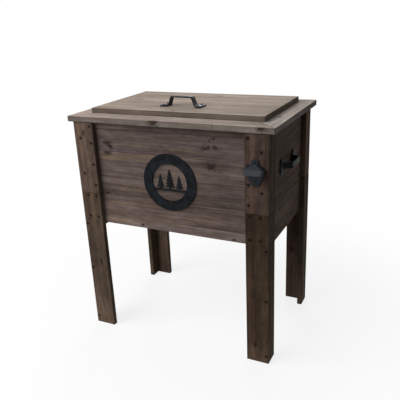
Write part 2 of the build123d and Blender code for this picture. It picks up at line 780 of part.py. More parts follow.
def drain():
    """Drain spout with a nut and seal inside the tub, and a quarter-turn tap."""
    inside = -tub_x + tub_wall
    seal_end = inside + drain_gasket_thickness
    nut_end = seal_end + drain_nut_thickness
    boss_top = drain_z + drain_boss_rise
    plug_bottom = drain_z - tap_plug_drop
    nozzle_end = plug_bottom - drain_nozzle_length
    body = drain_tube((tap_x, nut_end), drain_tail)
    body += drain_tube((-panel_x - drain_flange_thickness, -panel_x), drain_flange)
    body += tap_rod((plug_bottom - tub_wall, boss_top), drain_boss)
    body += tap_rod((nozzle_end, plug_bottom), drain_nozzle)
    body -= drain_tube((tap_x, nut_end), drain_bore)
    body -= tap_rod((plug_bottom, boss_top), tap_plug + tap_plug_play)
    body -= tap_rod((nozzle_end, plug_bottom), drain_bore)
    seal = drain_tube((inside, seal_end), drain_nut) - drain_tube((inside, seal_end), drain_tail)
    nut_plane = facing((seal_end, drain_y, drain_z), (0, 1, 0), (1, 0, 0))
    nut = nut_plane * extrude(RegularPolygon(drain_nut, 6), drain_nut_thickness)
    nut -= drain_tube((seal_end, nut_end), drain_tail)
    lever_bottom = boss_top + tap_skirt_gap
    lever_top = lever_bottom + tap_lever_thickness
    plug = tap_rod((plug_bottom + tap_skirt_gap, lever_bottom), tap_plug)
    plug -= tap_rod((plug_bottom, drain_z), drain_bore)
    port_y = (drain_y - tap_plug - cut_overrun, drain_y)
    port_centre = Pos(tap_x, sum(port_y) / 2, drain_z)
    plug -= port_centre * Rot(90, 0, 0) * Cylinder(drain_bore, port_y[1] - port_y[0])
    lever_plan = SlotCenterPoint((0, tap_lever_length / 2), (0, tap_lever_length), tap_lever_width)
    cap = Circle(tap_plug + tap_plug_play + tap_cap_overlap)
    lever = Pos(tap_x, drain_y, lever_bottom) * extrude(lever_plan, tap_lever_thickness)
    lever += Pos(tap_x, drain_y, lever_bottom) * extrude(cap, tap_lever_thickness)
    lever = chamfer(lever.faces().sort_by(Axis.Z)[-1].edges(), arris)
    return {
        "drain_spout": [body],
        "drain_gasket": [seal],
        "drain_nut": [nut],
        "drain_tap_lever": [lever + plug],
    }


def frame_screws():
    """All countersunk screws in the face boards of the posts and legs."""
    screws = []
    for side, face in corners.values():
        for place in post_screw_places(side, face) + leg_screw_places(side, face):
            screws.append(place * flat_screw(wood_screw, screw_sink))
    return {"frame_screws": screws}


def main():
    """Build every node and write one STEP file for each."""
    os.makedirs("parts", exist_ok=True)
    sections = (
        leg_boards, panels, floor_boards, rim_boards, lid_planks, lid_insides, tub_and_foam,
        pulls, opener, emblem, hinges, drain, frame_screws,
    )
    for section in sections:
        for name, solids in section().items():
            moved = [Pos(0, body_y, 0) * solid for solid in solids]
            whole = moved[0] if len(moved) == 1 else Compound(moved)
            export_step(whole, f"parts/{name}.step")


if __name__ == "__main__":
    main()
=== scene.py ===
"""Looks of a rustic wooden patio cooler on four board legs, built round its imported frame.

Every board is modelled again as a worn plank with its own grain, knots and eased edges, the
emblem is hammered iron, and the iron, steel, plastic, foam and rubber parts get finishes of
their own. Metres, +Z up, the front towards -Y. Places and sizes come from the frame.
"""
import logging
import math
from dataclasses import dataclass, field
from enum import Enum

import bmesh
import bpy
import numpy as np
from mathutils import Matrix, Vector


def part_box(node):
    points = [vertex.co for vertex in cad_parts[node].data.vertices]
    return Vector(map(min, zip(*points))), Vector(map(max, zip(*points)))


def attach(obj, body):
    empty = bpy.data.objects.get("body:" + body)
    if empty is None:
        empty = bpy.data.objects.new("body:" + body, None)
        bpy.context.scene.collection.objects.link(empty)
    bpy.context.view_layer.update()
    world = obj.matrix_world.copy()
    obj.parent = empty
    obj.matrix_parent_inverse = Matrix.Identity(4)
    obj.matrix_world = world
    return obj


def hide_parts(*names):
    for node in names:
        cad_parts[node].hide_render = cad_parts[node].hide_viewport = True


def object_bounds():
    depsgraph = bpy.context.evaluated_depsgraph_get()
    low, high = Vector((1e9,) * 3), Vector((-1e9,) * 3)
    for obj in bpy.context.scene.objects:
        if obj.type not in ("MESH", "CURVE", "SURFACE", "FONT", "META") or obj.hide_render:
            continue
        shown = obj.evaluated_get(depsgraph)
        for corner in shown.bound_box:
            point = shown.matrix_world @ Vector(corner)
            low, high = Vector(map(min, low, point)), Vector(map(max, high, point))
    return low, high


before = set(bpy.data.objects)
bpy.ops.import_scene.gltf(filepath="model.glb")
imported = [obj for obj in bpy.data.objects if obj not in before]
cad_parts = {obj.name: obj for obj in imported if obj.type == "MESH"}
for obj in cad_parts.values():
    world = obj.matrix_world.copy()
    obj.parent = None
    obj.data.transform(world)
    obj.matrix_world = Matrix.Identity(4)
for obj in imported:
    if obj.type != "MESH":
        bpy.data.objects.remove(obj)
CAD_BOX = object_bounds()

log = logging.getLogger("cooler")
MM = 0.001
Triple = tuple[float, float, float]
Colour = Triple
Box = tuple[Vector, Vector]
Faces = list[list[int]]
Outline = list[tuple[float, float]]
Key = int | str
Socket = bpy.types.NodeSocket
Value = float | Socket


def shade(code: str) -> Colour:
    """Turn a colour written as six hex digits into linear red, green and blue.

    Args:
        code: Six hex digits, two for each of red, green and blue.

    Returns:
        The linear colour.
    """
    parts = [int(code[i:i + 2], 16) / 255 for i in (0, 2, 4)]
    return tuple(((c + 0.055) / 1.055) ** 2.4 if c > 0.04 else c / 12.92 for c in parts)


class Grain(Enum):
    """Axis that a board's grain runs along."""

    X = 0
    Y = 1
    Z = 2


class Body(Enum):
    """Bodies that modelled pieces ride on."""

    CASE = "case"
    LID = "lid"


class Corner(Enum):
    """Corners of the case, in the order that they are built."""

    FRONT_LEFT = "front_left"
    FRONT_RIGHT = "front_right"
    BACK_LEFT = "back_left"
    BACK_RIGHT = "back_right"


class Slot(Enum):
    """Material slots of the record."""

    LID_WOOD = "lid_wood"
    RIM_WOOD = "rim_wood"
    PANEL_WOOD = "panel_wood"
    POST_WOOD = "post_wood"
    LEG_WOOD = "leg_wood"
    INNER_WOOD = "inner_wood"
    EMBLEM_IRON = "emblem_iron"


class Shader:
    """Node tree of a material or the world. Each method adds a node and returns its result."""

    def __init__(self, owner: bpy.types.Material | bpy.types.World) -> None:
        """Open the owner's node tree.

        Args:
            owner: Material or world that the nodes belong to.
        """
        owner.use_nodes = True
        self.owner = owner
        self.nodes, self.links = owner.node_tree.nodes, owner.node_tree.links
        self.surface = self.nodes.get("Principled BSDF") or self.nodes["Background"]

    def feed(self, socket: Socket, value: Value | Colour) -> None:
        """Link a socket to a result, or set its plain value.

        Args:
            socket: Socket to feed.
            value: A result, a number, or three numbers of a colour or vector.
        """
        if isinstance(value, bpy.types.NodeSocket):
            self.links.new(value, socket)
        elif isinstance(value, tuple) and len(value) == 3 and len(socket.default_value) == 4:
            socket.default_value = (*value, 1.0)
        else:
            socket.default_value = value

    def node(self, kind: str, output: Key, inputs: dict[Key, Value | Colour], **settings: str) -> Socket:
        """Add a node.

        Args:
            kind: Its type, without the leading "ShaderNode".
            output: Name or number of the output to return.
            inputs: What to feed its inputs, by name or number.
            settings: Values of its own properties.

        Returns:
            The socket of that output.
        """
        node = self.nodes.new(f"ShaderNode{kind}")
        for name, setting in settings.items():
            setattr(node, name, setting)
        for key, value in inputs.items():
            self.feed(node.inputs[key], value)
        return node.outputs[output]

    def math(self, operation: str, *values: Value) -> Socket:
        """Work out one step of arithmetic."""
        return self.node("Math", 0, dict(enumerate(values)), operation=operation)

    def plus(self, first: Value, second: Value) -> Socket:
        """Add two values."""
        return self.math("ADD", first, second)

    def minus(self, first: Value, second: Value) -> Socket:
        """Take the second value from the first."""
        return self.math("SUBTRACT", first, second)

    def times(self, first: Value, second: Value) -> Socket:
        """Multiply two values."""
        return self.math("MULTIPLY", first, second)

    def length(self, x: Value, y: Value) -> Socket:
        """Measure a flat vector."""
        return self.math("SQRT", self.plus(self.times(x, x), self.times(y, y)))

    def attribute(self, name: str) -> Socket:
        """Read a vector that the mesh carries."""
        return self.node("Attribute", "Vector", {}, attribute_name=name)

    def position(self) -> Socket:
        """Read the object's own coordinates."""
        return self.node("TexCoord", "Object", {})

    def split(self, vector: Socket) -> tuple[Socket, Socket, Socket]:
        """Take a vector apart."""
        return tuple(self.node("SeparateXYZ", 0, {0: vector}).node.outputs)

    def join(self, x: Value, y: Value, z: Value) -> Socket:
        """Put a vector together."""
        return self.node("CombineXYZ", 0, {0: x, 1: y, 2: z})

    def stretched(self, place: Socket, factors: Triple) -> Socket:
        """Multiply a vector axis by axis."""
        return self.node("VectorMath", 0, {0: place, 1: factors}, operation="MULTIPLY")

    def dim(self, colour: Socket, factor: Value) -> Socket:
        """Multiply a colour by one number."""
        return self.node("VectorMath", 0, {0: colour, "Scale": factor}, operation="SCALE")

    def noise(self, place: Socket, scale: float = 1.0, detail: float = 2.0, rough: float = 0.5) -> Socket:
        """Add smooth noise from 0 to 1."""
        inputs = {"Vector": place, "Scale": scale, "Detail": detail, "Roughness": rough}
        return self.node("TexNoise", "Fac", inputs)

    def streaks(self, lane: tuple[Value, ...], scales: Triple, **noise: float) -> Socket:
        """Add noise drawn out along the fibres, from places along, across and through."""
        scaled = [self.times(value, scale) for value, scale in zip(lane, scales)]
        return self.noise(self.join(*scaled), **noise)

    def cells(self, place: Socket, scale: float, smooth: float = 0.0) -> Socket:
        """Add the distance to the nearest of many scattered points, rounded off by smooth."""
        inputs = {"Vector": place, "Scale": scale} | ({"Smoothness": smooth} if smooth else {})
        return self.node("TexVoronoi", "Distance", inputs, feature="SMOOTH_F1" if smooth else "F1")

    def ramp(self, value: Socket, start: float, end: float, low: float = 0.0, high: float = 1.0) -> Socket:
        """Ease a value from low to high as it goes from start to end."""
        inputs = {"Value": value, "From Min": start, "From Max": end, "To Min": low, "To Max": high}
        return self.node("MapRange", "Result", inputs, interpolation_type="SMOOTHSTEP")

    def mix(self, share: Value, first: Value | Colour, second: Value | Colour, blend: str = "MIX") -> Socket:
        """Blend two colours, the share being the second one's."""
        return self.node("Mix", 2, {0: share, 6: first, 7: second}, data_type="RGBA", blend_type=blend)

    def bump(self, height: Socket, distance: float, strength: float = 1.0) -> Socket:
        """Tilt the surface by a height, where a height of 1 is the given distance."""
        return self.node("Bump", "Normal", {"Distance": distance, "Strength": strength, "Height": height})

    def set(self, **sockets: Value | Colour) -> bpy.types.Material:
        """Feed sockets of the surface by name, with _ for a space.

        Args:
            sockets: A value for each socket.

        Returns:
            The material.
        """
        for name, value in sockets.items():
            self.feed(self.surface.inputs[name.replace("_", " ")], value)
        return self.owner


def new_shader(name: str) -> Shader:
    """Start a material."""
    return Shader(bpy.data.materials.new(name))


@dataclass(frozen=True)
class WoodFinish:
    """Stained, weathered softwood.

    The mesh carries the vectors that it reads: "grain" runs along, across and through the board,
    "pith" is measured from the heart of the log, "knot" from the nearest knot in knot radii and
    "screw" from the nearest screw, "edge" holds the distances to the nearest edge, end and long
    side, and "tint" multiplies the colour. A share is how strongly a colour shows, a depth how much
    it darkens, and a shade how bright the edges, ends and narrow faces (flanks) stay. Where the
    flanks are darkened, on the lid and rim, that is painted shade against their paler tops.
    """

    name: str
    slot: Slot
    pale: Colour
    mid: Colour
    deep: Colour
    warm: Colour
    rose: Colour
    knot: Colour = shade("2A211C")
    warm_share: float = 0.4
    rose_share: float = 0.45
    ring_spacing: float = 5.5 * MM
    ring_depth: float = 0.1
    line_depth: float = 0.1
    line_share: float = 0.6
    mottle: float = 0.2
    seam_shade: float = 0.45
    end_shade: float = 0.5
    flank_shade: float = 1.0
    wander: float = 22 * MM
    roughness: float = 0.66
    gloss: float = 0.03
    relief: float = 0.5 * MM

    def material(self) -> bpy.types.Material:
        """Build the wood material."""
        return WoodShader(self).build()


class WoodShader(Shader):
    """Node tree of one wood finish. Its steps share the noises and change its colour in turn."""

    def __init__(self, wood: WoodFinish) -> None:
        """Lay what the steps share.

        Args:
            wood: The finish.
        """
        super().__init__(bpy.data.materials.new(wood.name))
        self.wood = wood
        self.place = place = self.attribute("grain")
        self.along, self.across, through = self.split(place)
        self._follow_fibres()
        self._find_rings()
        lanes = (self.along, self.lane, through)
        self.bands = self.streaks(lanes, (2.2, 46.0, 1.0), detail=4.0)
        self.lines = self.streaks(lanes, (5.0, 380.0, 90.0), detail=3.0, rough=0.62)
        self.fibre = self.noise(self.stretched(place, (45.0, 1900.0, 900.0)))
        self.patches = self.noise(self.stretched(place, (6.0, 17.0, 9.0)), detail=3.0)
        self.spots = self.noise(self.stretched(place, (30.0, 75.0, 60.0)), detail=4.0, rough=0.6)
        self.colour = self.mix(self.ramp(self.bands, 0.34, 0.6), wood.deep, wood.mid)

    def build(self) -> bpy.types.Material:
        """Take the steps in order.

        Returns:
            The wood material.
        """
        self._stain()
        self._wear()
        self._mark_knots()
        self._mark_screws()
        self._shade_edges()
        # The tint multiplies in each board's tone, and for some boards painted light and shade.
        self.colour = self.mix(1.0, self.colour, self.attribute("tint"), "MULTIPLY")
        height = self.plus(self.times(self.lines, 0.6), self.times(self.fibre, 0.25))
        height = self.minus(height, self.times(self.rings, 0.3))
        height = self.minus(height, self.times(self.core, 0.4))
        rough = self.ramp(self.lines, 0.3, 0.7, self.wood.roughness + 0.12, self.wood.roughness - 0.05)
        return self.set(Base_Color=self.colour, Roughness=self.plus(rough, self.times(self.end, 0.12)),
                        Normal=self.bump(height, self.wood.relief, 0.9), Specular_IOR_Level=self.wood.gloss)

    def _follow_fibres(self) -> None:
        """Bend the fibres round the nearest knot, and square its distance in knot radii."""
        knot_along, knot_across, knot_through = self.split(self.attribute("knot"))
        x = self.times(knot_along, 0.55)
        near = self.plus(self.times(x, x), self.times(knot_across, knot_across))
        near = self.math("MULTIPLY_ADD", knot_through, knot_through, near)
        ragged = self.noise(self.stretched(self.place, (120.0, 230.0, 230.0)), detail=4.0, rough=0.62)
        self.near = self.times(near, self.ramp(ragged, 0.3, 0.7, 0.25, 3.2))
        swirl = self.math("EXPONENT", self.times(self.near, -0.24))
        drift = self.minus(self.noise(self.stretched(self.place, (1.7, 7.0, 7.0)), detail=1.5), 0.5)
        lane = self.math("MULTIPLY_ADD", drift, self.wood.wander, self.across)
        self.lane = self.minus(lane, self.times(self.times(knot_across, 6 * MM), swirl))

    def _find_rings(self) -> None:
        """Find the dark summer wood of the growth rings."""
        rise, side, deep = self.split(self.attribute("pith"))
        radius = self.length(self.plus(side, self.minus(self.lane, self.across)), deep)
        phase = self.math("DIVIDE", self.plus(radius, rise), self.wood.ring_spacing)
        uneven = self.noise(self.join(self.times(phase, 0.31), 0.0, 0.0), detail=1.0)
        part = self.math("FRACT", self.math("MULTIPLY_ADD", uneven, 3.0, phase))
        late = self.times(self.ramp(part, 0.35, 0.9), self.ramp(part, 1.0, 0.93))
        self.rings = self.times(late, self.ramp(uneven, 0.3, 0.7, 0.35, 1.0))

    def _stain(self) -> None:
        """Draw the pale lines and bands, then the reddish and yellowish streaks."""
        wood = self.wood
        rose = self.streaks((self.along, self.lane, 8.1), (1.1, 41.0, 1.0))
        warm = self.streaks((self.along, self.lane, 3.7), (2.3, 95.0, 1.0))
        for noise, start, end, share, stain in (
                (self.lines, 0.42, 0.7, wood.line_share, wood.pale),
                (self.bands, 0.54, 0.72, 0.7, wood.pale),
                (rose, 0.45, 0.68, wood.rose_share, wood.rose),
                (warm, 0.54, 0.72, wood.warm_share, wood.warm)):
            self.colour = self.mix(self.times(self.ramp(noise, start, end), share), self.colour, stain)

    def _wear(self) -> None:
        """Darken the fine lines and the rings, and mottle the whole."""
        mottle = self.wood.mottle
        worn = self.minus(1.0, self.times(self.ramp(self.lines, 0.5, 0.26), self.wood.line_depth))
        worn = self.minus(worn, self.times(self.rings, self.wood.ring_depth))
        for noise, start, end, low, high in (
                (self.patches, 0.3, 0.7, 1 - mottle, 1 + mottle),
                (self.spots, 0.3, 0.7, 1 - 0.8 * mottle, 1 + 0.6 * mottle),
                (self.fibre, 0.2, 0.8, 0.9, 1.1)):
            worn = self.times(worn, self.ramp(noise, start, end, low, high))
        self.colour = self.dim(self.colour, worn)

    def _mark_knots(self) -> None:
        """Darken the wood round the knots, then the knots."""
        self.core = self.ramp(self.near, 1.5, 0.4)
        halo = self.times(self.ramp(self.near, 5.0, 0.8), self.ramp(self.spots, 0.3, 0.65, 0.35, 0.75))
        dusky = self.mix(0.5, self.dim(self.colour, 0.62), self.wood.knot)
        core = self.times(self.core, self.ramp(self.spots, 0.3, 0.7, 0.7, 1.0))
        self.colour = self.mix(core, self.mix(halo, self.colour, dusky), self.wood.knot)

    def _mark_screws(self) -> None:
        """Stain the wood round the screws."""
        along, across, _ = self.split(self.attribute("screw"))
        near = self.ramp(self.length(along, across), 9.5 * MM, 4.2 * MM)
        stain = self.times(near, self.ramp(self.spots, 0.35, 0.65, 0.1, 0.75))
        self.colour = self.mix(stain, self.colour, self.dim(self.colour, 0.4))

    def _shade_edges(self) -> None:
        """Darken the narrow faces, the seams between boards and the end grain."""
        edge, end_distance, flank_distance = self.split(self.attribute("edge"))
        # Painted shade: the narrow faces of the lid and rim are darkened against their paler tops.
        flank = self.times(self.ramp(flank_distance, 0.9 * MM, 0.3 * MM), 1.0 - self.wood.flank_shade)
        colour = self.dim(self.colour, self.minus(1.0, flank))
        seam = self.times(self.ramp(edge, 2.6 * MM, 0.5 * MM), self.ramp(self.patches, 0.3, 0.6, 0.5, 1.0))
        colour = self.mix(self.times(seam, 1.0 - self.wood.seam_shade), colour, self.dim(colour, 0.25))
        self.end = self.ramp(end_distance, 1.0 * MM, 0.4 * MM)
        self.colour = self.mix(self.end, colour, self.dim(colour, self.wood.end_shade))


@dataclass(frozen=True)
class IronFinish:
    """Black coated cast iron, lightly hammered, darker in the low spots of its fine grit."""

    name: str
    body: Colour
    painted_sheen: Colour
    roughness: float = 0.36
    dimple: float = 3.2 * MM
    relief: float = 0.25 * MM
    gloss: float = 0.5

    def material(self) -> bpy.types.Material:
        """Build the node tree.

        Returns:
            The iron material.
        """
        s = new_shader(self.name)
        place = s.position()
        dents = s.cells(place, 1.0 / self.dimple, 0.6)
        grit = s.noise(place, 1400.0, 3.0)
        clouds = s.noise(place, 45.0, 3.0)
        # Painted sheen: lighter, bluish clouds mixed into the base colour stand in for the iron's sheen.
        colour = s.mix(s.ramp(clouds, 0.35, 0.7), self.body, self.painted_sheen)
        colour = s.dim(colour, s.ramp(grit, 0.25, 0.75, 0.8, 1.2))
        height = s.plus(dents, s.times(grit, 0.22))
        rough = s.ramp(clouds, 0.3, 0.7, self.roughness - 0.05, self.roughness + 0.12)
        return s.set(Base_Color=colour, Roughness=rough, Normal=s.bump(height, self.relief, 0.8),
                     Specular_IOR_Level=self.gloss)


@dataclass(frozen=True)
class SteelFinish:
    """Bare or dark steel of screws and hinges, with fine scratches and specks of rust."""

    name: str
    body: Colour
    rust: Colour
    rust_share: float = 0.3
    metal: float = 1.0
    roughness: float = 0.38
    gloss: float = 0.5

    def material(self) -> bpy.types.Material:
        """Build the node tree.

        Returns:
            The steel material.
        """
        s = new_shader(self.name)
        place = s.position()
        specks = s.noise(place, 700.0, 4.0, 0.6)
        scratches = s.noise(s.stretched(place, (900.0, 3200.0, 2100.0)))
        colour = s.mix(s.times(s.ramp(specks, 0.52, 0.7), self.rust_share), self.body, self.rust)
        rough = s.math("MULTIPLY_ADD", scratches, 0.22, self.roughness - 0.1)
        normal = s.bump(s.plus(scratches, specks), 0.06 * MM, 0.7)
        return s.set(Base_Color=colour, Roughness=rough, Normal=normal, Metallic=self.metal,
                     Specular_IOR_Level=self.gloss)


@dataclass(frozen=True)
class MouldedFinish:
    """Moulded plastic or rubber with a fine eggshell skin."""

    name: str
    body: Colour
    scuff: Colour
    roughness: float = 0.45
    skin_scale: float = 900.0
    relief: float = 0.05 * MM

    def material(self) -> bpy.types.Material:
        """Build the node tree.

        Returns:
            The plastic or rubber material.
        """
        s = new_shader(self.name)
        place = s.position()
        skin = s.noise(place, self.skin_scale)
        clouds = s.noise(place, 22.0, 4.0, 0.6)
        scuffs = s.noise(s.stretched(place, (60.0, 420.0, 260.0)), 1.0, 3.0, 0.65)
        colour = s.mix(s.times(s.ramp(clouds, 0.4, 0.75), 0.4), self.body, self.scuff)
        colour = s.mix(s.times(s.ramp(scuffs, 0.62, 0.75), 0.35), colour, self.scuff)
        rough = s.ramp(clouds, 0.3, 0.7, self.roughness - 0.06, self.roughness + 0.1)
        return s.set(Base_Color=colour, Roughness=rough, Normal=s.bump(skin, self.relief, 0.8))


@dataclass(frozen=True)
class FoamFinish:
    """Expanded bead foam: pressed beads with fine dark seams."""

    name: str
    body: Colour
    seam: Colour
    bead: float = 4.0 * MM

    def material(self) -> bpy.types.Material:
        """Build the node tree.

        Returns:
            The foam material.
        """
        s = new_shader(self.name)
        place = s.position()
        beads = s.cells(place, 1.0 / self.bead)
        grain = s.noise(place, 1200.0)
        colour = s.mix(s.ramp(beads, 0.45, 0.8), self.body, self.seam)
        height = s.minus(s.times(grain, 0.2), beads)
        return s.set(Base_Color=colour, Roughness=s.ramp(grain, 0.2, 0.8, 0.75, 0.9),
                     Normal=s.bump(height, 0.5 * MM, 0.7))


Finish = IronFinish | SteelFinish | MouldedFinish | FoamFinish


@dataclass(frozen=True)
class Knot:
    """A knot, by its place along and across a board in the frame and its radius.

    It goes right through the board, unless it has a place through it as well.
    """

    along: float
    across: float
    radius: float = 5 * MM
    through: float | None = None


class Waves:
    """Smooth repeatable noise: the mean of a few plane waves with seeded directions."""

    def __init__(self, seed: int, lengths: Triple, count: int = 7) -> None:
        """Draw the waves.

        Args:
            seed: Seed of their directions and phases.
            lengths: Shortest wavelength on each axis.
            count: How many waves.
        """
        draw = np.random.default_rng(seed)
        self.pull = draw.normal(size=(3, count)) * (2 * math.pi / np.array(lengths))[:, None] * 0.5
        self.phase = draw.uniform(0, 2 * math.pi, count)

    def at(self, points: np.ndarray) -> np.ndarray:
        """Read the noise at each point, about -1 to 1."""
        return np.sin(points @ self.pull + self.phase).mean(axis=1) * 1.6


@dataclass
class Plank:
    """One board, with eased and dented edges, raised grain and its own place in a log.

    Attributes:
        low: Lowest corner of its box.
        high: Highest corner of its box.
        grain: Axis that the grain runs along.
        seed: Seed of its grain, knots and wear.
        tint: Colour that its finish is multiplied by.
        painted_end_light: How much paler it is at its low end, as painted light.
        knots: Knots at set places.
        stray_knots: How many more knots to scatter.
        mitre: 1 where its ends narrow at 45 degrees towards the high side across, -1 towards
            the low side, and 0 where they are square.
        holes: Points of the screw heads' middles, where it is drilled.
        drill: Direction of the screw heads' faces.
        steps: Mesh spacing along, across and through.
        easing: Radius of its edges.
        dent: Depth of the dents in its edges.
        raised: Height of the raised grain.
    """

    low: Vector
    high: Vector
    grain: Grain
    seed: int
    tint: Colour = (1.0, 1.0, 1.0)
    painted_end_light: float = 0.0
    knots: tuple[Knot, ...] = ()
    stray_knots: int = 0
    mitre: int = 0
    holes: tuple[Vector, ...] = ()
    drill: Vector = Vector((0, -1, 0))
    steps: Triple = (14 * MM, 2.6 * MM, 4 * MM)
    easing: float = 1.1 * MM
    dent: float = 0.7 * MM
    raised: float = 0.22 * MM

    def axes(self) -> tuple[int, int, int]:
        """Number the axes along, across and through the board.

        Returns:
            The three axes, 0 to 2.
        """
        size = self.high - self.low
        along = self.grain.value
        across, through = sorted((i for i in range(3) if i != along), key=lambda i: -size[i])
        return along, across, through

    def shape(self) -> tuple[np.ndarray, Faces]:
        """Model the board.

        Returns:
            Its points in the frame, and its faces.
        """
        points, faces = self._lattice()
        points = self._worn(points)
        if self.mitre:
            points = self._mitred(points, 1)
        if self.holes:
            points, faces = self._drilled(points, faces)
        return points, faces

    def _lattice(self) -> tuple[np.ndarray, Faces]:
        """Lay a grid over the six faces, with its lines close together at the edges.

        Returns:
            Its points from the box's lowest corner, and its faces.
        """
        size = np.array(self.high - self.low)
        ease = self.easing
        order = self.axes()
        ticks = [None, None, None]
        for axis, step in zip(order, self.steps):
            length = size[axis]
            count = max(2, round((length - 2 * ease) / step) + 1)
            inner = np.linspace(ease, length - ease, count)
            turn = ease * (1 - math.tan(math.pi / 8))
            ticks[axis] = np.concatenate(([0, turn], inner, [length - turn, length]))
        counts = [len(t) for t in ticks]
        keys, quads = [], []
        for axis in range(3):
            b, c = (axis + 1) % 3, (axis + 2) % 3
            for side in (0, counts[axis] - 1):
                grid_b, grid_c = np.meshgrid(range(counts[b]), range(counts[c]), indexing="ij")
                index = [None, None, None]
                index[axis] = np.full_like(grid_b, side)
                index[b], index[c] = grid_b, grid_c
                key = (index[0] * counts[1] + index[1]) * counts[2] + index[2]
                ring = [key[:-1, :-1], key[1:, :-1], key[1:, 1:], key[:-1, 1:]]
                if side == 0:
                    ring.reverse()
                quads.append(np.stack(ring, axis=-1).reshape(-1, 4))
                keys.append(key.ravel())
        used, _ = np.unique(np.concatenate(keys), return_inverse=True)
        faces = np.searchsorted(used, np.concatenate(quads))
        i, rest = np.divmod(used, counts[1] * counts[2])
        j, k = np.divmod(rest, counts[2])
        points = np.stack([ticks[0][i], ticks[1][j], ticks[2][k]], axis=1)
        return points, faces.tolist()

    def _worn(self, points: np.ndarray) -> np.ndarray:
        """Round the edges, dent them, and sink the soft grain between the rings.

        Args:
            points: Points of the lattice.

        Returns:
            The worn points in the frame.
        """
        size = np.array(self.high - self.low)
        along, across, through = self.axes()
        core = np.clip(points, self.easing, size - self.easing)
        away = points - core
        normal = away / np.maximum(np.linalg.norm(away, axis=1), 1e-9)[:, None]
        on_edge = (np.abs(away) > self.easing * 0.3).sum(axis=1) >= 2
        place = points + np.array(self.low)
        lengths = [0.0, 0.0, 0.0]
        lengths[along], lengths[across], lengths[through] = 0.35, 7 * MM, 9 * MM
        raised = 0.5 + 0.5 * Waves(self.seed, tuple(lengths)).at(place)
        lengths[along], lengths[across], lengths[through] = 0.05, 0.03, 0.03
        dents = np.clip(Waves(self.seed + 1, tuple(lengths)).at(place), 0, 1) ** 2
        sink = self.raised * np.clip(raised, 0, 1) + np.where(on_edge, self.dent * dents, 0.0)
        return core + normal * (self.easing - sink)[:, None] + np.array(self.low)

    def _mitred(self, points: np.ndarray, way: int) -> np.ndarray:
        """Narrow the ends at 45 degrees, or square them again.

        Args:
            points: Points in the frame.
            way: 1 to narrow the ends, -1 to square them.

        Returns:
            The moved points.
        """
        along, across, _ = self.axes()
        low, high = np.array(self.low), np.array(self.high)
        middle, half = (low + high)[along] / 2, (high - low)[along] / 2
        inward = points[:, across] - low[across] if self.mitre > 0 else high[across] - points[:, across]
        factor = (half - inward) / half
        moved = points.copy()
        moved[:, along] = middle + (points[:, along] - middle) * (factor if way > 0 else 1 / factor)
        return moved

    def _drilled(self, points: np.ndarray, faces: Faces) -> tuple[np.ndarray, Faces]:
        """Cut the screws' countersinks.

        Args:
            points: The board's points in the frame.
            faces: Its faces.

        Returns:
            The cut board's points and faces.
        """
        board = bpy.data.meshes.new("board")
        board.from_pydata(points.tolist(), [], faces)
        cutter = countersinks(self.holes, self.drill)
        blank = bpy.data.objects.new("blank", board)
        tool = bpy.data.objects.new("tool", cutter)
        for item in (blank, tool):
            bpy.context.scene.collection.objects.link(item)
        cut = blank.modifiers.new("cut", "BOOLEAN")
        cut.operation, cut.solver, cut.object = "DIFFERENCE", "EXACT", tool
        bpy.context.view_layer.update()
        result = bpy.data.meshes.new_from_object(blank.evaluated_get(bpy.context.evaluated_depsgraph_get()))
        new_points = read_points(result)
        new_faces = [list(face.vertices) for face in result.polygons]
        for item in (blank, tool):
            bpy.data.objects.remove(item)
        for mesh in (board, cutter, result):
            bpy.data.meshes.remove(mesh)
        return new_points, new_faces

    def vectors(self, points: np.ndarray) -> dict[str, np.ndarray]:
        """Work out the vectors that the wood finish reads.

        Args:
            points: The board's points in the frame.

        Returns:
            One array of vectors for each name.
        """
        along, across, through = self.axes()
        low, high = np.array(self.low), np.array(self.high)
        draw = np.random.default_rng(self.seed + 7)
        square = self._mitred(points, -1) if self.mitre else points
        local = np.stack([(points - low)[:, axis] for axis in (along, across, through)], axis=1)
        width, thick = (high - low)[across], (high - low)[through]
        grain = local + draw.uniform(0, 40, 3)
        heart_across = width * draw.uniform(0.15, 0.85)
        heart_through = thick * draw.choice((-1.6, 2.6)) * draw.uniform(0.7, 2.0)
        pith = local - (0.0, heart_across, heart_through)
        pith[:, 0] = local[:, 0] * draw.uniform(0.006, 0.03) * draw.choice((-1, 1))
        near_side = np.minimum(square - low, high - square)
        second = np.sort(near_side, axis=1)[:, 1]
        edge = np.stack([second, near_side[:, along], near_side[:, across]], axis=1)
        knots = list(self.knots)
        for _ in range(self.stray_knots):
            spot_along = low[along] + (high - low)[along] * draw.uniform(0.08, 0.92)
            spot_across = low[across] + width * draw.uniform(0.15, 0.85)
            knots.append(Knot(spot_along, spot_across, draw.uniform(2.5, 6.0) * MM))
        spots = []
        for item in knots:
            gap = points[:, [along, across, through]] - (item.along, item.across, item.through or 0.0)
            spots.append(gap * (1, 1, item.through is not None) / item.radius)
        knot = nearest_of(spots, len(points))
        screws = [(points - np.array(hole))[:, [along, across, through]] * (1, 1, 0) for hole in self.holes]
        screw = nearest_of(screws, len(points))
        # Painted light: each board grows paler towards its low end, the foot of a leg or the left end of the
        # front's top row.
        foot = 1 - local[:, :1] / (high - low)[along]
        tint = np.array(self.tint) * (1 + self.painted_end_light * foot**2)
        return {"grain": grain, "pith": pith, "knot": knot, "screw": screw, "edge": edge, "tint": tint}


def nearest_of(offsets: list[np.ndarray], count: int) -> np.ndarray:
    """Keep the shortest of several offsets at each point.

    Args:
        offsets: Offsets of every point from each spot.
        count: How many points there are.

    Returns:
        One offset for each point, far away where there is no spot.
    """
    if not offsets:
        return np.full((count, 3), 9.0)
    every = np.stack(offsets)
    return every[np.linalg.norm(every, axis=2).argmin(axis=0), np.arange(count)]


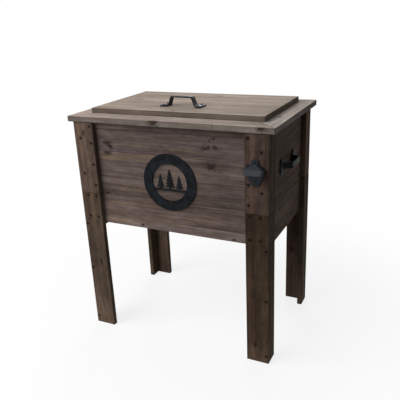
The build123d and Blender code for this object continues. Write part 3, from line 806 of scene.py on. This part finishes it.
def strips(rows: int, sides: int, closed: bool) -> Faces:
    """Join rings of points into strips of quads.

    Args:
        rows: How many rings, one after the other.
        sides: Points in a ring.
        closed: Whether the last ring joins the first.

    Returns:
        The faces.
    """
    faces = []
    for row in range(rows if closed else rows - 1):
        here, there = row * sides, (row + 1) % rows * sides
        for number in range(sides):
            step = (number + 1) % sides
            faces.append([here + number, here + step, there + step, there + number])
    return faces


def between(box: Box, bottom: float, top: float) -> Box:
    """Give a box another bottom and top."""
    low, high = box
    return Vector((low.x, low.y, bottom)), Vector((high.x, high.y, top))


def read_points(mesh: bpy.types.Mesh) -> np.ndarray:
    """Read a mesh's points.

    Args:
        mesh: The mesh.

    Returns:
        One row for each point.
    """
    points = np.zeros(len(mesh.vertices) * 3)
    mesh.vertices.foreach_get("co", points)
    return points.reshape(-1, 3)


def countersinks(spots: tuple[Vector, ...], facing: Vector) -> bpy.types.Mesh:
    """Model the cutter of the countersinks in one board.

    Args:
        spots: Middle of each screw head's face.
        facing: Direction in which the heads face.

    Returns:
        One closed cone for each screw.
    """
    profile = ((4.15, 1.5), (4.1, 0.85), (3.75, 0.0), (2.2, -2.4), (2.1, -6.0))  # radius, height in mm
    sides = 24
    turn = facing.to_track_quat("Z", "Y").to_matrix()
    angles = [2 * math.pi * number / sides for number in range(sides)]
    cone = [[face[0], *face[:0:-1]] for face in strips(len(profile), sides, closed=False)]
    cone += [[*range(sides)], [*range(len(profile) * sides - 1, (len(profile) - 1) * sides - 1, -1)]]
    points, faces = [], []
    for spot in spots:
        faces += [[len(points) + corner for corner in face] for face in cone]
        points += [spot + turn @ (Vector((radius * math.cos(a), radius * math.sin(a), height)) * MM)
                   for radius, height in profile for a in angles]
    mesh = bpy.data.meshes.new("cutter")
    mesh.from_pydata(points, [], faces)
    return mesh


def add_piece(name: str, mesh: bpy.types.Mesh, material: bpy.types.Material, body: Body,
              stands_for: str) -> bpy.types.Object:
    """Put a modelled piece into the scene.

    Args:
        name: Name of the piece.
        mesh: Its mesh, in the frame.
        material: Its finish.
        body: Body that it rides on.
        stands_for: CAD node that it replaces.

    Returns:
        The piece.
    """
    piece = bpy.data.objects.new(name, mesh)
    bpy.context.scene.collection.objects.link(piece)
    mesh.materials.append(material)
    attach(piece, body.value)
    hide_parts(stands_for)
    log.info("%s: %d faces, rides on %s", name, len(mesh.polygons), body.value)
    return piece


def solids_of(node: str) -> list[Box]:
    """Find the boxes of a node's separate solids that don't touch.

    Args:
        node: Name of the CAD node.

    Returns:
        The lowest and highest corner of each solid.
    """
    builder = bmesh.new()
    builder.from_mesh(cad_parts[node].data)
    bmesh.ops.remove_doubles(builder, verts=builder.verts, dist=0.001 * MM)
    seen, boxes = set(), []
    for first in builder.verts:
        if first in seen:
            continue
        group, queue = [], [first]
        seen.add(first)
        while queue:
            vert = queue.pop()
            group.append(vert.co.copy())
            for edge in vert.link_edges:
                other = edge.other_vert(vert)
                if other not in seen:
                    seen.add(other)
                    queue.append(other)
        low = Vector(min(p[i] for p in group) for i in range(3))
        high = Vector(max(p[i] for p in group) for i in range(3))
        boxes.append((low, high))
    builder.free()
    return boxes


@dataclass
class WoodShop:
    """The wood finishes, each with its material made once."""

    # The lid's pale colours are partly painted sheen of its top; its darker flanks are painted shade.
    lid: WoodFinish = WoodFinish(
        "weathered_lid_wood_painted_sheen", Slot.LID_WOOD, pale=shade("B3A392"), mid=shade("9F8F81"), deep=shade("8A7B6E"),
        warm=shade("AC917A"), rose=shade("A39089"), ring_depth=0.1, line_depth=0.14, warm_share=0.35,
        rose_share=0.4, mottle=0.1, end_shade=0.42, seam_shade=0.5, flank_shade=0.38)
    # The rim's pale colours are partly painted light on its top, lifting the lid's shadow; its darker flanks
    # are painted shade.
    rim: WoodFinish = WoodFinish(
        "weathered_rim_wood_painted_light", Slot.RIM_WOOD, pale=shade("CBBDB2"), mid=shade("B5A69B"), deep=shade("98897E"),
        warm=shade("BCA28C"), rose=shade("B5A198"), knot=shade("544337"), ring_depth=0.1, line_depth=0.16,
        warm_share=0.3, rose_share=0.35, mottle=0.12, seam_shade=0.6, flank_shade=0.48)
    panel: WoodFinish = WoodFinish(
        "stained_panel_wood", Slot.PANEL_WOOD, pale=shade("7A6A5F"), mid=shade("65564E"),
        deep=shade("4E413A"), warm=shade("806850"), rose=shade("6E5B5B"), warm_share=0.55, rose_share=0.5,
        seam_shade=0.75)
    post: WoodFinish = WoodFinish(
        "stained_post_wood", Slot.POST_WOOD, pale=shade("766254"), mid=shade("614F43"), deep=shade("4E4036"),
        warm=shade("80603F"), rose=shade("6B5650"), rose_share=0.5, line_share=0.4, line_depth=0.07,
        mottle=0.24, seam_shade=0.65, end_shade=0.75)
    leg: WoodFinish = WoodFinish(
        "stained_leg_wood", Slot.LEG_WOOD, pale=shade("685A4B"), mid=shade("54463A"), deep=shade("43382E"),
        warm=shade("684F3A"), rose=shade("59483F"), rose_share=0.4, line_share=0.3, line_depth=0.06,
        mottle=0.24, seam_shade=0.65, end_shade=0.75)
    inner: WoodFinish = WoodFinish(
        "bare_inner_wood", Slot.INNER_WOOD, pale=shade("C0A57F"), mid=shade("B0926A"), deep=shade("997A55"),
        warm=shade("B98F5E"), rose=shade("B0906F"), knot=shade("5C3F28"), ring_depth=0.2, line_depth=0.15)
    made: dict[str, bpy.types.Material] = field(default_factory=dict)

    def lay(self, node: str, planks: list[Plank], finish: WoodFinish, body: Body) -> None:
        """Replace a CAD node by its modelled boards, as one piece.

        Args:
            node: CAD node that the boards stand for.
            planks: The boards.
            finish: Their wood.
            body: Body that they ride on.
        """
        points, faces, vectors = [], [], []
        for plank in planks:
            start = sum(len(p) for p in points)
            plank_points, plank_faces = plank.shape()
            points.append(plank_points)
            faces += [[start + corner for corner in face] for face in plank_faces]
            vectors.append(plank.vectors(plank_points))
        mesh = bpy.data.meshes.new(node)
        mesh.from_pydata(np.concatenate(points).tolist(), [], faces)
        for name in vectors[0]:
            layer = mesh.attributes.new(name, "FLOAT_VECTOR", "POINT")
            layer.data.foreach_set("vector", np.concatenate([v[name] for v in vectors]).ravel())
        mesh.shade_smooth()
        mesh.set_sharp_from_angle(angle=math.radians(38))
        if finish.name not in self.made:
            self.made[finish.name] = finish.material()
        add_piece(f"worn_{node}", mesh, self.made[finish.name], body, node)


@dataclass(frozen=True)
class CornerLook:
    """How the boards of one corner look.

    Attributes:
        post: Tint of the post's face.
        leg: Tint of the leg's face.
        side: Tint of the boards on the side.
        painted_foot_light: How much paler the foot is, as painted light from the floor.
        knots: Knots in the post's face.
    """

    post: Colour = (0.8, 0.82, 0.84)
    leg: Colour = (0.8, 0.78, 0.8)
    side: Colour = (0.75, 0.76, 0.76)
    painted_foot_light: float = 0.7
    knots: tuple[Knot, ...] = ()


@dataclass
class Case:
    """Wall boards, posts, legs and rim.

    The front wall's tints go from the lowest board up. The other walls say their node, grain and
    tone, the rim boards their node, grain, mitre and tint, and the knots in the rim's front edge
    their place along, their height over its middle and their radius. A seed is that of the first
    board of its kind.
    """

    wood: WoodShop
    # Lightest at the bottom row; the top row's darker tint is painted shade under the rim.
    front_tints: tuple[Colour, ...] = (
        (1.42, 1.5, 1.6), (1.2, 1.22, 1.3), (1.0, 1.04, 1.12), (1.08, 1.14, 1.2), (1.02, 1.07, 1.14),
        (0.79, 0.82, 0.85))
    # Painted light towards the top row's left end.
    painted_top_row_light: float = 1.1
    panel_knots: tuple[Knot, ...] = (
        Knot(-0.206, 0.644, 6.5 * MM), Knot(-0.208, 0.612, 7.5 * MM), Knot(-0.195, 0.631, 4 * MM),
        Knot(0.12, 0.65, 5 * MM), Knot(0.153, 0.655, 3.5 * MM), Knot(0.138, 0.598, 8 * MM),
        Knot(0.148, 0.681, 3 * MM), Knot(-0.223, 0.482, 3.5 * MM), Knot(-0.103, 0.389, 3.5 * MM),
        Knot(0.202, 0.386, 3 * MM))
    wall_easing: float = 0.6 * MM
    # The right wall's lower tone is partly painted shade of the shaded right side, partly darker wood.
    walls: tuple[tuple[str, Grain, float], ...] = (
        ("left_planks", Grain.Y, 0.85), ("right_planks", Grain.Y, 0.67), ("back_planks", Grain.X, 0.85))
    corners: dict[Corner, CornerLook] = field(default_factory=lambda: {
        Corner.FRONT_LEFT: CornerLook((0.86, 0.91, 0.96), (0.97, 0.98, 1.02), (0.85, 0.86, 0.88),
                                      knots=(Knot(0.673, -0.279, 5 * MM),)),
        # Painted shade: the front right corner's side boards are darkened for the shaded right side, its post
        # and leg partly; its paler foot is painted light.
        Corner.FRONT_RIGHT: CornerLook((0.75, 0.76, 0.82), (0.6, 0.56, 0.55), (0.4, 0.4, 0.37), 1.54),
        Corner.BACK_LEFT: CornerLook(),
        Corner.BACK_RIGHT: CornerLook(),
    })
    rims: tuple[tuple[str, Grain, int, Colour], ...] = (
        ("rim_front", Grain.X, 1, (0.92, 0.92, 0.93)), ("rim_back", Grain.X, -1, (0.94, 0.94, 0.95)),
        # rim_right's brighter, bluer tint is painted light that lifts the lid's shadow on it.
        ("rim_left", Grain.Y, 1, (0.95, 0.95, 0.95)), ("rim_right", Grain.Y, -1, (0.98, 1.04, 1.08)))
    rim_knots: tuple[Triple, ...] = ((-0.03, 3 * MM, 9 * MM), (0.292, 4 * MM, 7 * MM))
    floor_boards: int = 5
    front_seed: int = 21
    wall_seed: int = 40
    rail_seed: int = 75
    corner_seed: int = 80
    rim_seed: int = 131
    floor_seed: int = 141

    def build(self) -> None:
        """Build every board of the case."""
        self._front()
        self._walls()
        self._corners()
        self._rim()
        self._floor()

    def _front(self) -> None:
        """Boards of the front wall, one piece each."""
        for row, tint in enumerate(self.front_tints):
            node = f"front_plank_{row + 1}"
            low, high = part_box(node)
            knots = tuple(k for k in self.panel_knots if low.z < k.across < high.z)
            # Painted shade and light: the top row is darker under the rim and paler towards its left end.
            painted_end_light = self.painted_top_row_light if row + 1 == len(self.front_tints) else 0.0
            seed = self.front_seed + row
            plank = Plank(low, high, Grain.X, seed, tint, painted_end_light, knots, easing=self.wall_easing)
            self.wood.lay(node, [plank], self.wood.panel, Body.CASE)

    def _walls(self) -> None:
        """Boards of the side and back walls, in the same rows as the front, and the bottom rails."""
        for wall, (node, grain, wall_tone) in enumerate(self.walls):
            planks = []
            for row in range(len(self.front_tints)):
                row_low, row_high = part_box(f"front_plank_{row + 1}")
                seed = self.wall_seed + 10 * wall + row
                tone = wall_tone * (0.93 + 0.12 * ((seed * 7) % 5) / 4)
                planks.append(Plank(
                    *between(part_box(node), row_low.z, row_high.z), grain, seed, (tone, tone * 1.02, tone),
                    stray_knots=seed % 3, easing=self.wall_easing))
            self.wood.lay(node, planks, self.wood.panel, Body.CASE)
        for number, node in enumerate(("left_bottom_rail", "right_bottom_rail")):
            plank = Plank(*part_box(node), Grain.Y, self.rail_seed + number)
            self.wood.lay(node, [plank], self.wood.leg, Body.CASE)

    def _corners(self) -> None:
        """Posts and legs of the four corners."""
        boxes = solids_of("frame_screws")
        screws = [(low + high) / 2 for low, high in boxes]
        reach = max(abs(high.y - low.y) for low, high in boxes) / 2
        for number, corner in enumerate(Corner):
            self._corner(corner, self.corner_seed + 10 * number, screws, reach)

    def _corner(self, corner: Corner, seed: int, screws: list[Vector], reach: float) -> None:
        """Build one corner's post and leg, with their screw holes.

        Args:
            corner: Which corner.
            seed: Seed of its first board.
            screws: Middles of the frame's screws.
            reach: Half the length of a screw.
        """
        place, look = corner.value, self.corners[corner]
        out = Vector((0, -1 if place.startswith("front") else 1, 0))
        post_low, post_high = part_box(f"post_{place}")
        leg_face, leg_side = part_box(f"leg_face_{place}"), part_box(f"leg_side_{place}")
        post_face = between(leg_face, post_low.z, post_high.z)
        post_side = between(leg_side, post_low.z, post_high.z)
        leg_holes, post_holes = (
            tuple(screw + out * reach for screw in screws
                  if low.x < screw.x < high.x and low.z < screw.z < high.z and screw.y * out.y > 0)
            for low, high in (leg_face, post_face))
        # Painted light: the leg boards grow paler towards the foot, for the light from the floor.
        painted_end_light = look.painted_foot_light
        boards = {
            "leg_face": [Plank(*leg_face, Grain.Z, seed, look.leg, painted_end_light, (), 1, holes=leg_holes, drill=out)],
            "leg_side": [Plank(*leg_side, Grain.Z, seed + 1, look.side, painted_end_light, (), 1)],
            "post": [Plank(*post_face, Grain.Z, seed + 2, look.post, 0.0, look.knots, holes=post_holes,
                           drill=out),
                     Plank(*post_side, Grain.Z, seed + 3, look.side)],
        }
        for kind, planks in boards.items():
            finish = self.wood.post if kind == "post" else self.wood.leg
            self.wood.lay(f"{kind}_{place}", planks, finish, Body.CASE)

    def _rim(self) -> None:
        """Mitred boards of the rim, with two knots in the front edge."""
        low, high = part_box("rim_front")
        level = (low.z + high.z) / 2
        knots = tuple(Knot(along, low.y, radius, level + rise) for along, rise, radius in self.rim_knots)
        for number, (node, grain, mitre, tint) in enumerate(self.rims):
            set_knots, stray_knots = (knots, 0) if node == "rim_front" else ((), 1)
            seed = self.rim_seed + number
            plank = Plank(*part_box(node), grain, seed, tint, 0.0, set_knots, stray_knots, mitre)
            self.wood.lay(node, [plank], self.wood.rim, Body.CASE)

    def _floor(self) -> None:
        """Boards under the floor foam."""
        low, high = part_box("floor_boards")
        width = (high.y - low.y) / self.floor_boards
        planks = []
        for number in range(self.floor_boards):
            start = low.y + number * width
            planks.append(Plank(
                Vector((low.x, start, low.z)), Vector((high.x, start + width, high.z)), Grain.X,
                self.floor_seed + number, stray_knots=1, steps=(24 * MM, 5 * MM, 6 * MM)))
        self.wood.lay("floor_boards", planks, self.wood.panel, Body.CASE)


@dataclass
class Lid:
    """Planks and battens of the lid."""

    wood: WoodShop
    # Tones above 1 lighten the lid's planks, partly as painted sheen.
    tones: tuple[float, ...] = (1.12, 1.05, 1.16, 1.08, 1.14)
    batten_width: float = 45 * MM
    plank_seed: int = 161
    batten_seed: int = 171

    def build(self) -> None:
        """Build the lid's boards."""
        for number, tone in enumerate(self.tones):
            node, seed = f"lid_plank_{number + 1}", self.plank_seed + number
            tint = (tone, tone * 1.02, tone * 1.05)
            plank = Plank(*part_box(node), Grain.X, seed, tint, stray_knots=seed % 2)
            self.wood.lay(node, [plank], self.wood.lid, Body.LID)
        low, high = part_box("lid_battens")
        left = Plank(low, Vector((low.x + self.batten_width, high.y, high.z)), Grain.Y, self.batten_seed)
        right = Plank(Vector((high.x - self.batten_width, low.y, low.z)), high, Grain.Y, self.batten_seed + 1)
        self.wood.lay("lid_battens", [left, right], self.wood.inner, Body.LID)


@dataclass
class Emblem:
    """Hammered iron ring with three firs on a ground bar.

    Lengths are shares of the ring's outer radius, and the picture's depth is a share of the ring's.
    Those given in millimetres are lengths as they stand. A fir has its place across, its height and
    its width, and each plate of the picture lies a layer lower than the one before it.
    """

    finish: IronFinish = IronFinish(
        "hammered_emblem_iron", shade("0A0C0E"), shade("1A1F24"), 0.42, gloss=0.09)
    hole: float = 57 / 87
    picture_depth: float = 2.6 / 3.6
    ground: float = -20 / 87
    bar: float = 6 / 87
    firs: tuple[Triple, ...] = (
        (0.0, 62 / 87, 34 / 87), (-31 / 87, 44 / 87, 26 / 87), (31 / 87, 44 / 87, 26 / 87))
    dents: int = 340
    dent_radius: float = 5.2 / 87
    dent_depth: float = 0.45 * MM
    dent_seed: int = 5
    easing: float = 0.9 * MM
    plate_easing: float = 0.35 * MM
    layer: float = 0.05 * MM
    rings: int = 22
    sides: int = 300

    def build(self) -> None:
        """Build the ring and its picture as one piece."""
        low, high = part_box("emblem")
        centre = Vector(((low.x + high.x) / 2, high.y, (low.z + high.z) / 2))
        radius, depth = (high.x - low.x) / 2, high.y - low.y
        points, faces = self._ring(radius, depth)
        bars = [self._bar(radius)] + [self._fir(radius, *fir) for fir in self.firs]
        builder = bmesh.new()
        ring = [builder.verts.new(p) for p in points]
        for face in faces:
            builder.faces.new([ring[i] for i in face])
        for number, outline in enumerate(bars):
            self._plate(builder, outline, depth * self.picture_depth - number * self.layer)
        turn = Matrix.Translation(centre) @ Matrix.Rotation(math.pi / 2, 4, "X")
        bmesh.ops.transform(builder, matrix=turn, verts=builder.verts)
        bmesh.ops.recalc_face_normals(builder, faces=builder.faces)
        mesh = bpy.data.meshes.new("emblem")
        builder.to_mesh(mesh)
        builder.free()
        mesh.shade_smooth()
        mesh.set_sharp_from_angle(angle=math.radians(35))
        add_piece("hammered_emblem", mesh, self.finish.material(), Body.CASE, "emblem")

    def _ring(self, radius: float, depth: float) -> tuple[list[Vector], Faces]:
        """Turn the ring with a hammered face.

        Args:
            radius: Its outer radius.
            depth: Its depth.

        Returns:
            Its points, facing +Z, and its faces.
        """
        ease = self.easing
        inner, outer = radius * self.hole, radius
        turns = [(ease * (1 - math.cos(a)), depth - ease * (1 - math.sin(a))) for a in (0, math.pi / 4)]
        face = [(r, depth) for r in np.linspace(inner + ease, outer - ease, self.rings)]
        profile = [(inner, 0.0)] + [(inner + r, z) for r, z in turns] + face
        profile += [(outer - r, z) for r, z in reversed(turns)] + [(outer, 0.0)]
        spots = self._dent_spots(inner, outer)
        reach = radius * self.dent_radius
        points = []
        for r, z in profile:
            angles = np.arange(self.sides) * 2 * math.pi / self.sides
            place = np.stack([r * np.cos(angles), r * np.sin(angles)], axis=1)
            gap = np.linalg.norm(place[:, None] - spots[None], axis=2) / reach
            blow = self.dent_depth if z == depth else 0.0
            sink = blow * np.clip(1 - gap**2, 0, 1).max(axis=1)
            points += [Vector((x, y, z - d)) for (x, y), d in zip(place, sink)]
        return points, strips(len(profile), self.sides, closed=True)

    def _dent_spots(self, inner: float, outer: float) -> np.ndarray:
        """Scatter the hammer's blows evenly over the ring.

        Args:
            inner: Inner radius of the ring.
            outer: Outer radius of the ring.

        Returns:
            The middle of each blow.
        """
        draw = np.random.default_rng(self.dent_seed)
        radii = np.sqrt(draw.uniform(inner**2, outer**2, self.dents))
        angles = np.arange(self.dents) * math.pi * (3 - math.sqrt(5))
        return np.stack([radii * np.cos(angles), radii * np.sin(angles)], axis=1)

    def _bar(self, radius: float) -> Outline:
        """Draw the ground bar, with a softly uneven top.

        Args:
            radius: Outer radius of the ring.

        Returns:
            Its outline.
        """
        top, bottom = radius * self.ground, radius * (self.ground - self.bar)
        half_top = math.sqrt((radius * self.hole) ** 2 - top**2) + 0.6 * MM
        half_bottom = math.sqrt((radius * self.hole) ** 2 - bottom**2) + 0.6 * MM
        xs = np.linspace(half_top, -half_top, 25)
        crest = [(x, top - 0.5 * MM * (1 + math.sin(x / (4.5 * MM)))) for x in xs]
        return crest + [(-half_bottom, bottom), (half_bottom, bottom)]

    def _fir(self, radius: float, x: float, height: float, width: float) -> Outline:
        """Draw a fir with five drooping tiers on a short trunk.

        Args:
            radius: Outer radius of the ring.
            x: Its place across, as a share of the radius.
            height: Its height, as a share of the radius.
            width: Its width, as a share of the radius.

        Returns:
            Its outline.
        """
        foot = radius * self.ground - 0.8 * MM
        x, height, width = x * radius, height * radius, width * radius
        trunk, tiers = width * 0.09, 5
        right = [(trunk, 0.0), (trunk, height * 0.12)]
        for tier in range(tiers):
            base = height * (0.1 + 0.8 * tier / tiers)
            reach = width / 2 * (1 - tier / (tiers + 0.35)) ** 0.9
            right += [(reach, base), (reach * 0.86, base + height * 0.035),
                      (reach * 0.42, base + height * 0.125)]
        right.append((0.0, height))
        left = [(-a, b) for a, b in reversed(right[:-1])]
        return [(x + a, foot + b) for a, b in right + left]

    def _plate(self, builder: bmesh.types.BMesh, outline: Outline, depth: float) -> None:
        """Add a flat plate with an eased front edge.

        Args:
            builder: Mesh that it is added to.
            outline: Its outline.
            depth: Its depth.
        """
        area = sum(a[0] * b[1] - b[0] * a[1] for a, b in zip(outline, outline[1:] + outline[:1]))
        if area < 0:
            outline = outline[::-1]
        verts = [builder.verts.new((a, b, 0.0)) for a, b in outline]
        face = builder.faces.new(verts)
        made = bmesh.ops.extrude_face_region(builder, geom=[face])
        top = [v for v in made["geom"] if isinstance(v, bmesh.types.BMVert)]
        bmesh.ops.translate(builder, verts=top, vec=(0, 0, depth))
        rim = [e for e in builder.edges if all(v in top for v in e.verts)]
        bmesh.ops.bevel(builder, geom=rim, offset=self.plate_easing, segments=2, affect="EDGES")


@dataclass
class Fittings:
    """Finishes of the parts whose shape the frame already has, each with the nodes that it dresses."""

    finishes: tuple[tuple[Finish, tuple[str, ...]], ...] = (
        # The same pull iron twice: the lid's paler, glossier copy is painted light on top, the side pulls'
        # darker copy painted shade of the shaded right side.
        (IronFinish("lid_pull_iron_painted_light", shade("1B1B1E"), shade("2E2C31"), 0.46, 2.0 * MM, 0.08 * MM, 0.16),
         ("lid_handle",)),
        (IronFinish("side_pull_iron_painted_shade", shade("0E0F11"), shade("18181B"), 0.46, 2.0 * MM, 0.08 * MM,
                    0.07),
         ("side_handle_left", "side_handle_right")),
        (IronFinish("opener_iron", shade("10151B"), shade("1B222B"), 0.42, 2.4 * MM, 0.1 * MM, 0.2),
         ("bottle_opener",)),
        (SteelFinish("dark_wood_screw", shade("0E0C0B"), shade("1D120D"), 0.5, 0.0, 0.6, 0.1),
         ("frame_screws",)),
        (SteelFinish("black_iron_screw", shade("141416"), shade("221C19"), 0.3, 0.0, 0.5, 0.25),
         ("opener_screws", "emblem_screws", "side_pull_screws", "lid_pull_screws")),
        (SteelFinish("zinc_hinge_steel", shade("77787A"), shade("5B4C3D"), 0.3, 1.0, 0.5),
         ("hinge_frame_leaves", "hinge_lid_leaves", "hinge_pins", "hinge_screws", "lid_screws")),
        (MouldedFinish("white_tub_plastic", shade("D9DAD6"), shade("BFC0BA"), 0.4),
         ("tub_liner", "lid_liner")),
        (MouldedFinish("black_drain_plastic", shade("1D1E1F"), shade("3A3B3C"), 0.42),
         ("drain_spout", "drain_nut", "drain_tap_lever")),
        (MouldedFinish("grey_seal_rubber", shade("3B3C3D"), shade("55565A"), 0.62, 700.0),
         ("lid_gasket", "drain_gasket")),
        (FoamFinish("white_bead_foam", shade("E4E3DC"), shade("B9B7AE")),
         ("foam_walls", "foam_floor", "lid_foam")))

    def build(self) -> None:
        """Dress every fitting."""
        for finish, nodes in self.finishes:
            material = finish.material()
            for node in nodes:
                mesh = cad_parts[node].data
                mesh.materials.clear()
                mesh.materials.append(material)
                log.info("%s: dressed in %s", node, material.name)


@dataclass
class Studio:
    """Pale floor, soft lamps and the camera.

    Angles are in degrees, the lens in millimetres. A lamp has its name, place, size and watts.
    """

    eye: Triple = (0.7380, -1.4604, 1.0255)
    heading: float = 26.52
    dip: float = 20.30
    roll: float = -2.60
    lens: float = 47.67
    lamps: tuple[tuple[str, Triple, float, float], ...] = (
        ("key", (-1.35, -1.6, 2.05), 2.2, 67.0), ("back", (-0.7, 2.6, 1.7), 1.8, 30.0))
    floor_size: float = 14.0
    sky: float = 0.2
    floor_bounce: float = 0.35

    def build(self) -> None:
        """Set up the floor, the lamps, the world and the camera."""
        self._floor()
        self._world()
        for lamp in self.lamps:
            self._lamp(*lamp)
        self._camera()

    def _floor(self) -> None:
        """Lay a pale floor that turns plain white away from the cooler."""
        half = self.floor_size / 2
        mesh = bpy.data.meshes.new("floor")
        corners = [(-half, -half, 0), (half, -half, 0), (half, half, 0), (-half, half, 0)]
        mesh.from_pydata(corners, [], [(0, 1, 2, 3)])
        floor = bpy.data.objects.new("floor", mesh)
        bpy.context.scene.collection.objects.link(floor)
        s = new_shader("pale_floor")
        seen = self._seen(s)
        s.set(Base_Color=s.mix(seen, (self.floor_bounce,) * 3, (1.0, 1.0, 1.0)), Roughness=0.9)
        x, y, _ = s.split(s.position())
        away = s.times(s.ramp(s.length(x, y), 0.2, 1.2, 0.8, 1.0), seen)
        blend = s.node("MixShader", 0, {0: away, 1: s.surface.outputs[0], 2: s.node("Emission", 0, {})})
        s.feed(s.nodes["Material Output"].inputs[0], blend)
        mesh.materials.append(s.owner)

    def _seen(self, s: Shader) -> Socket:
        """Tell rays that see the background from rays that carry light.

        Args:
            s: The node tree.

        Returns:
            1 where the background is seen, 0 where it gives light.
        """
        rays = s.node("LightPath", 0, {}).node.outputs
        seen = s.math("MAXIMUM", rays["Is Camera Ray"], rays["Is Glossy Ray"])
        return s.math("MAXIMUM", seen, rays["Is Transmission Ray"])

    def _world(self) -> None:
        """Light the scene evenly, with a white background."""
        world = bpy.data.worlds.new("studio")
        bpy.context.scene.world = world
        s = Shader(world)
        s.set(Color=(1.0, 1.0, 1.0), Strength=s.ramp(self._seen(s), 0.0, 1.0, self.sky, 1.0))

    def _lamp(self, name: str, place: Triple, size: float, power: float) -> None:
        """Hang a square softbox that looks at the middle of the cooler.

        Args:
            name: Name of the lamp.
            place: Where it hangs.
            size: Length of its sides.
            power: Its power in watts.
        """
        light = bpy.data.lights.new(name, "AREA")
        light.energy, light.size = power, size
        lamp = bpy.data.objects.new(name, light)
        lamp.location = place
        middle = (CAD_BOX[0] + CAD_BOX[1]) / 2
        lamp.rotation_euler = (middle - Vector(place)).to_track_quat("-Z", "Y").to_euler()
        bpy.context.scene.collection.objects.link(lamp)

    def _camera(self) -> None:
        """Place the camera: three-quarter view from the front right, a little above the lid."""
        data = bpy.data.cameras.new("camera")
        data.lens, data.sensor_width = self.lens, 36.0
        data.clip_start, data.clip_end = 0.05, 50.0
        camera = bpy.data.objects.new("camera", data)
        turn = Matrix.Rotation(math.radians(self.heading), 4, "Z")
        turn @= Matrix.Rotation(math.radians(90 - self.dip), 4, "X")
        turn @= Matrix.Rotation(math.radians(self.roll), 4, "Z")
        camera.matrix_world = Matrix.Translation(self.eye) @ turn
        bpy.context.scene.collection.objects.link(camera)
        bpy.context.scene.camera = camera


def main() -> None:
    """Build the cooler's looks and its studio."""
    logging.basicConfig(level=logging.INFO, format="%(name)s: %(message)s")
    scene = bpy.context.scene
    scene.view_settings.view_transform = "Standard"
    wood = WoodShop()
    Studio().build()
    Case(wood).build()
    Lid(wood).build()
    Emblem().build()
    Fittings().build()


if __name__ == "__main__":
    main()
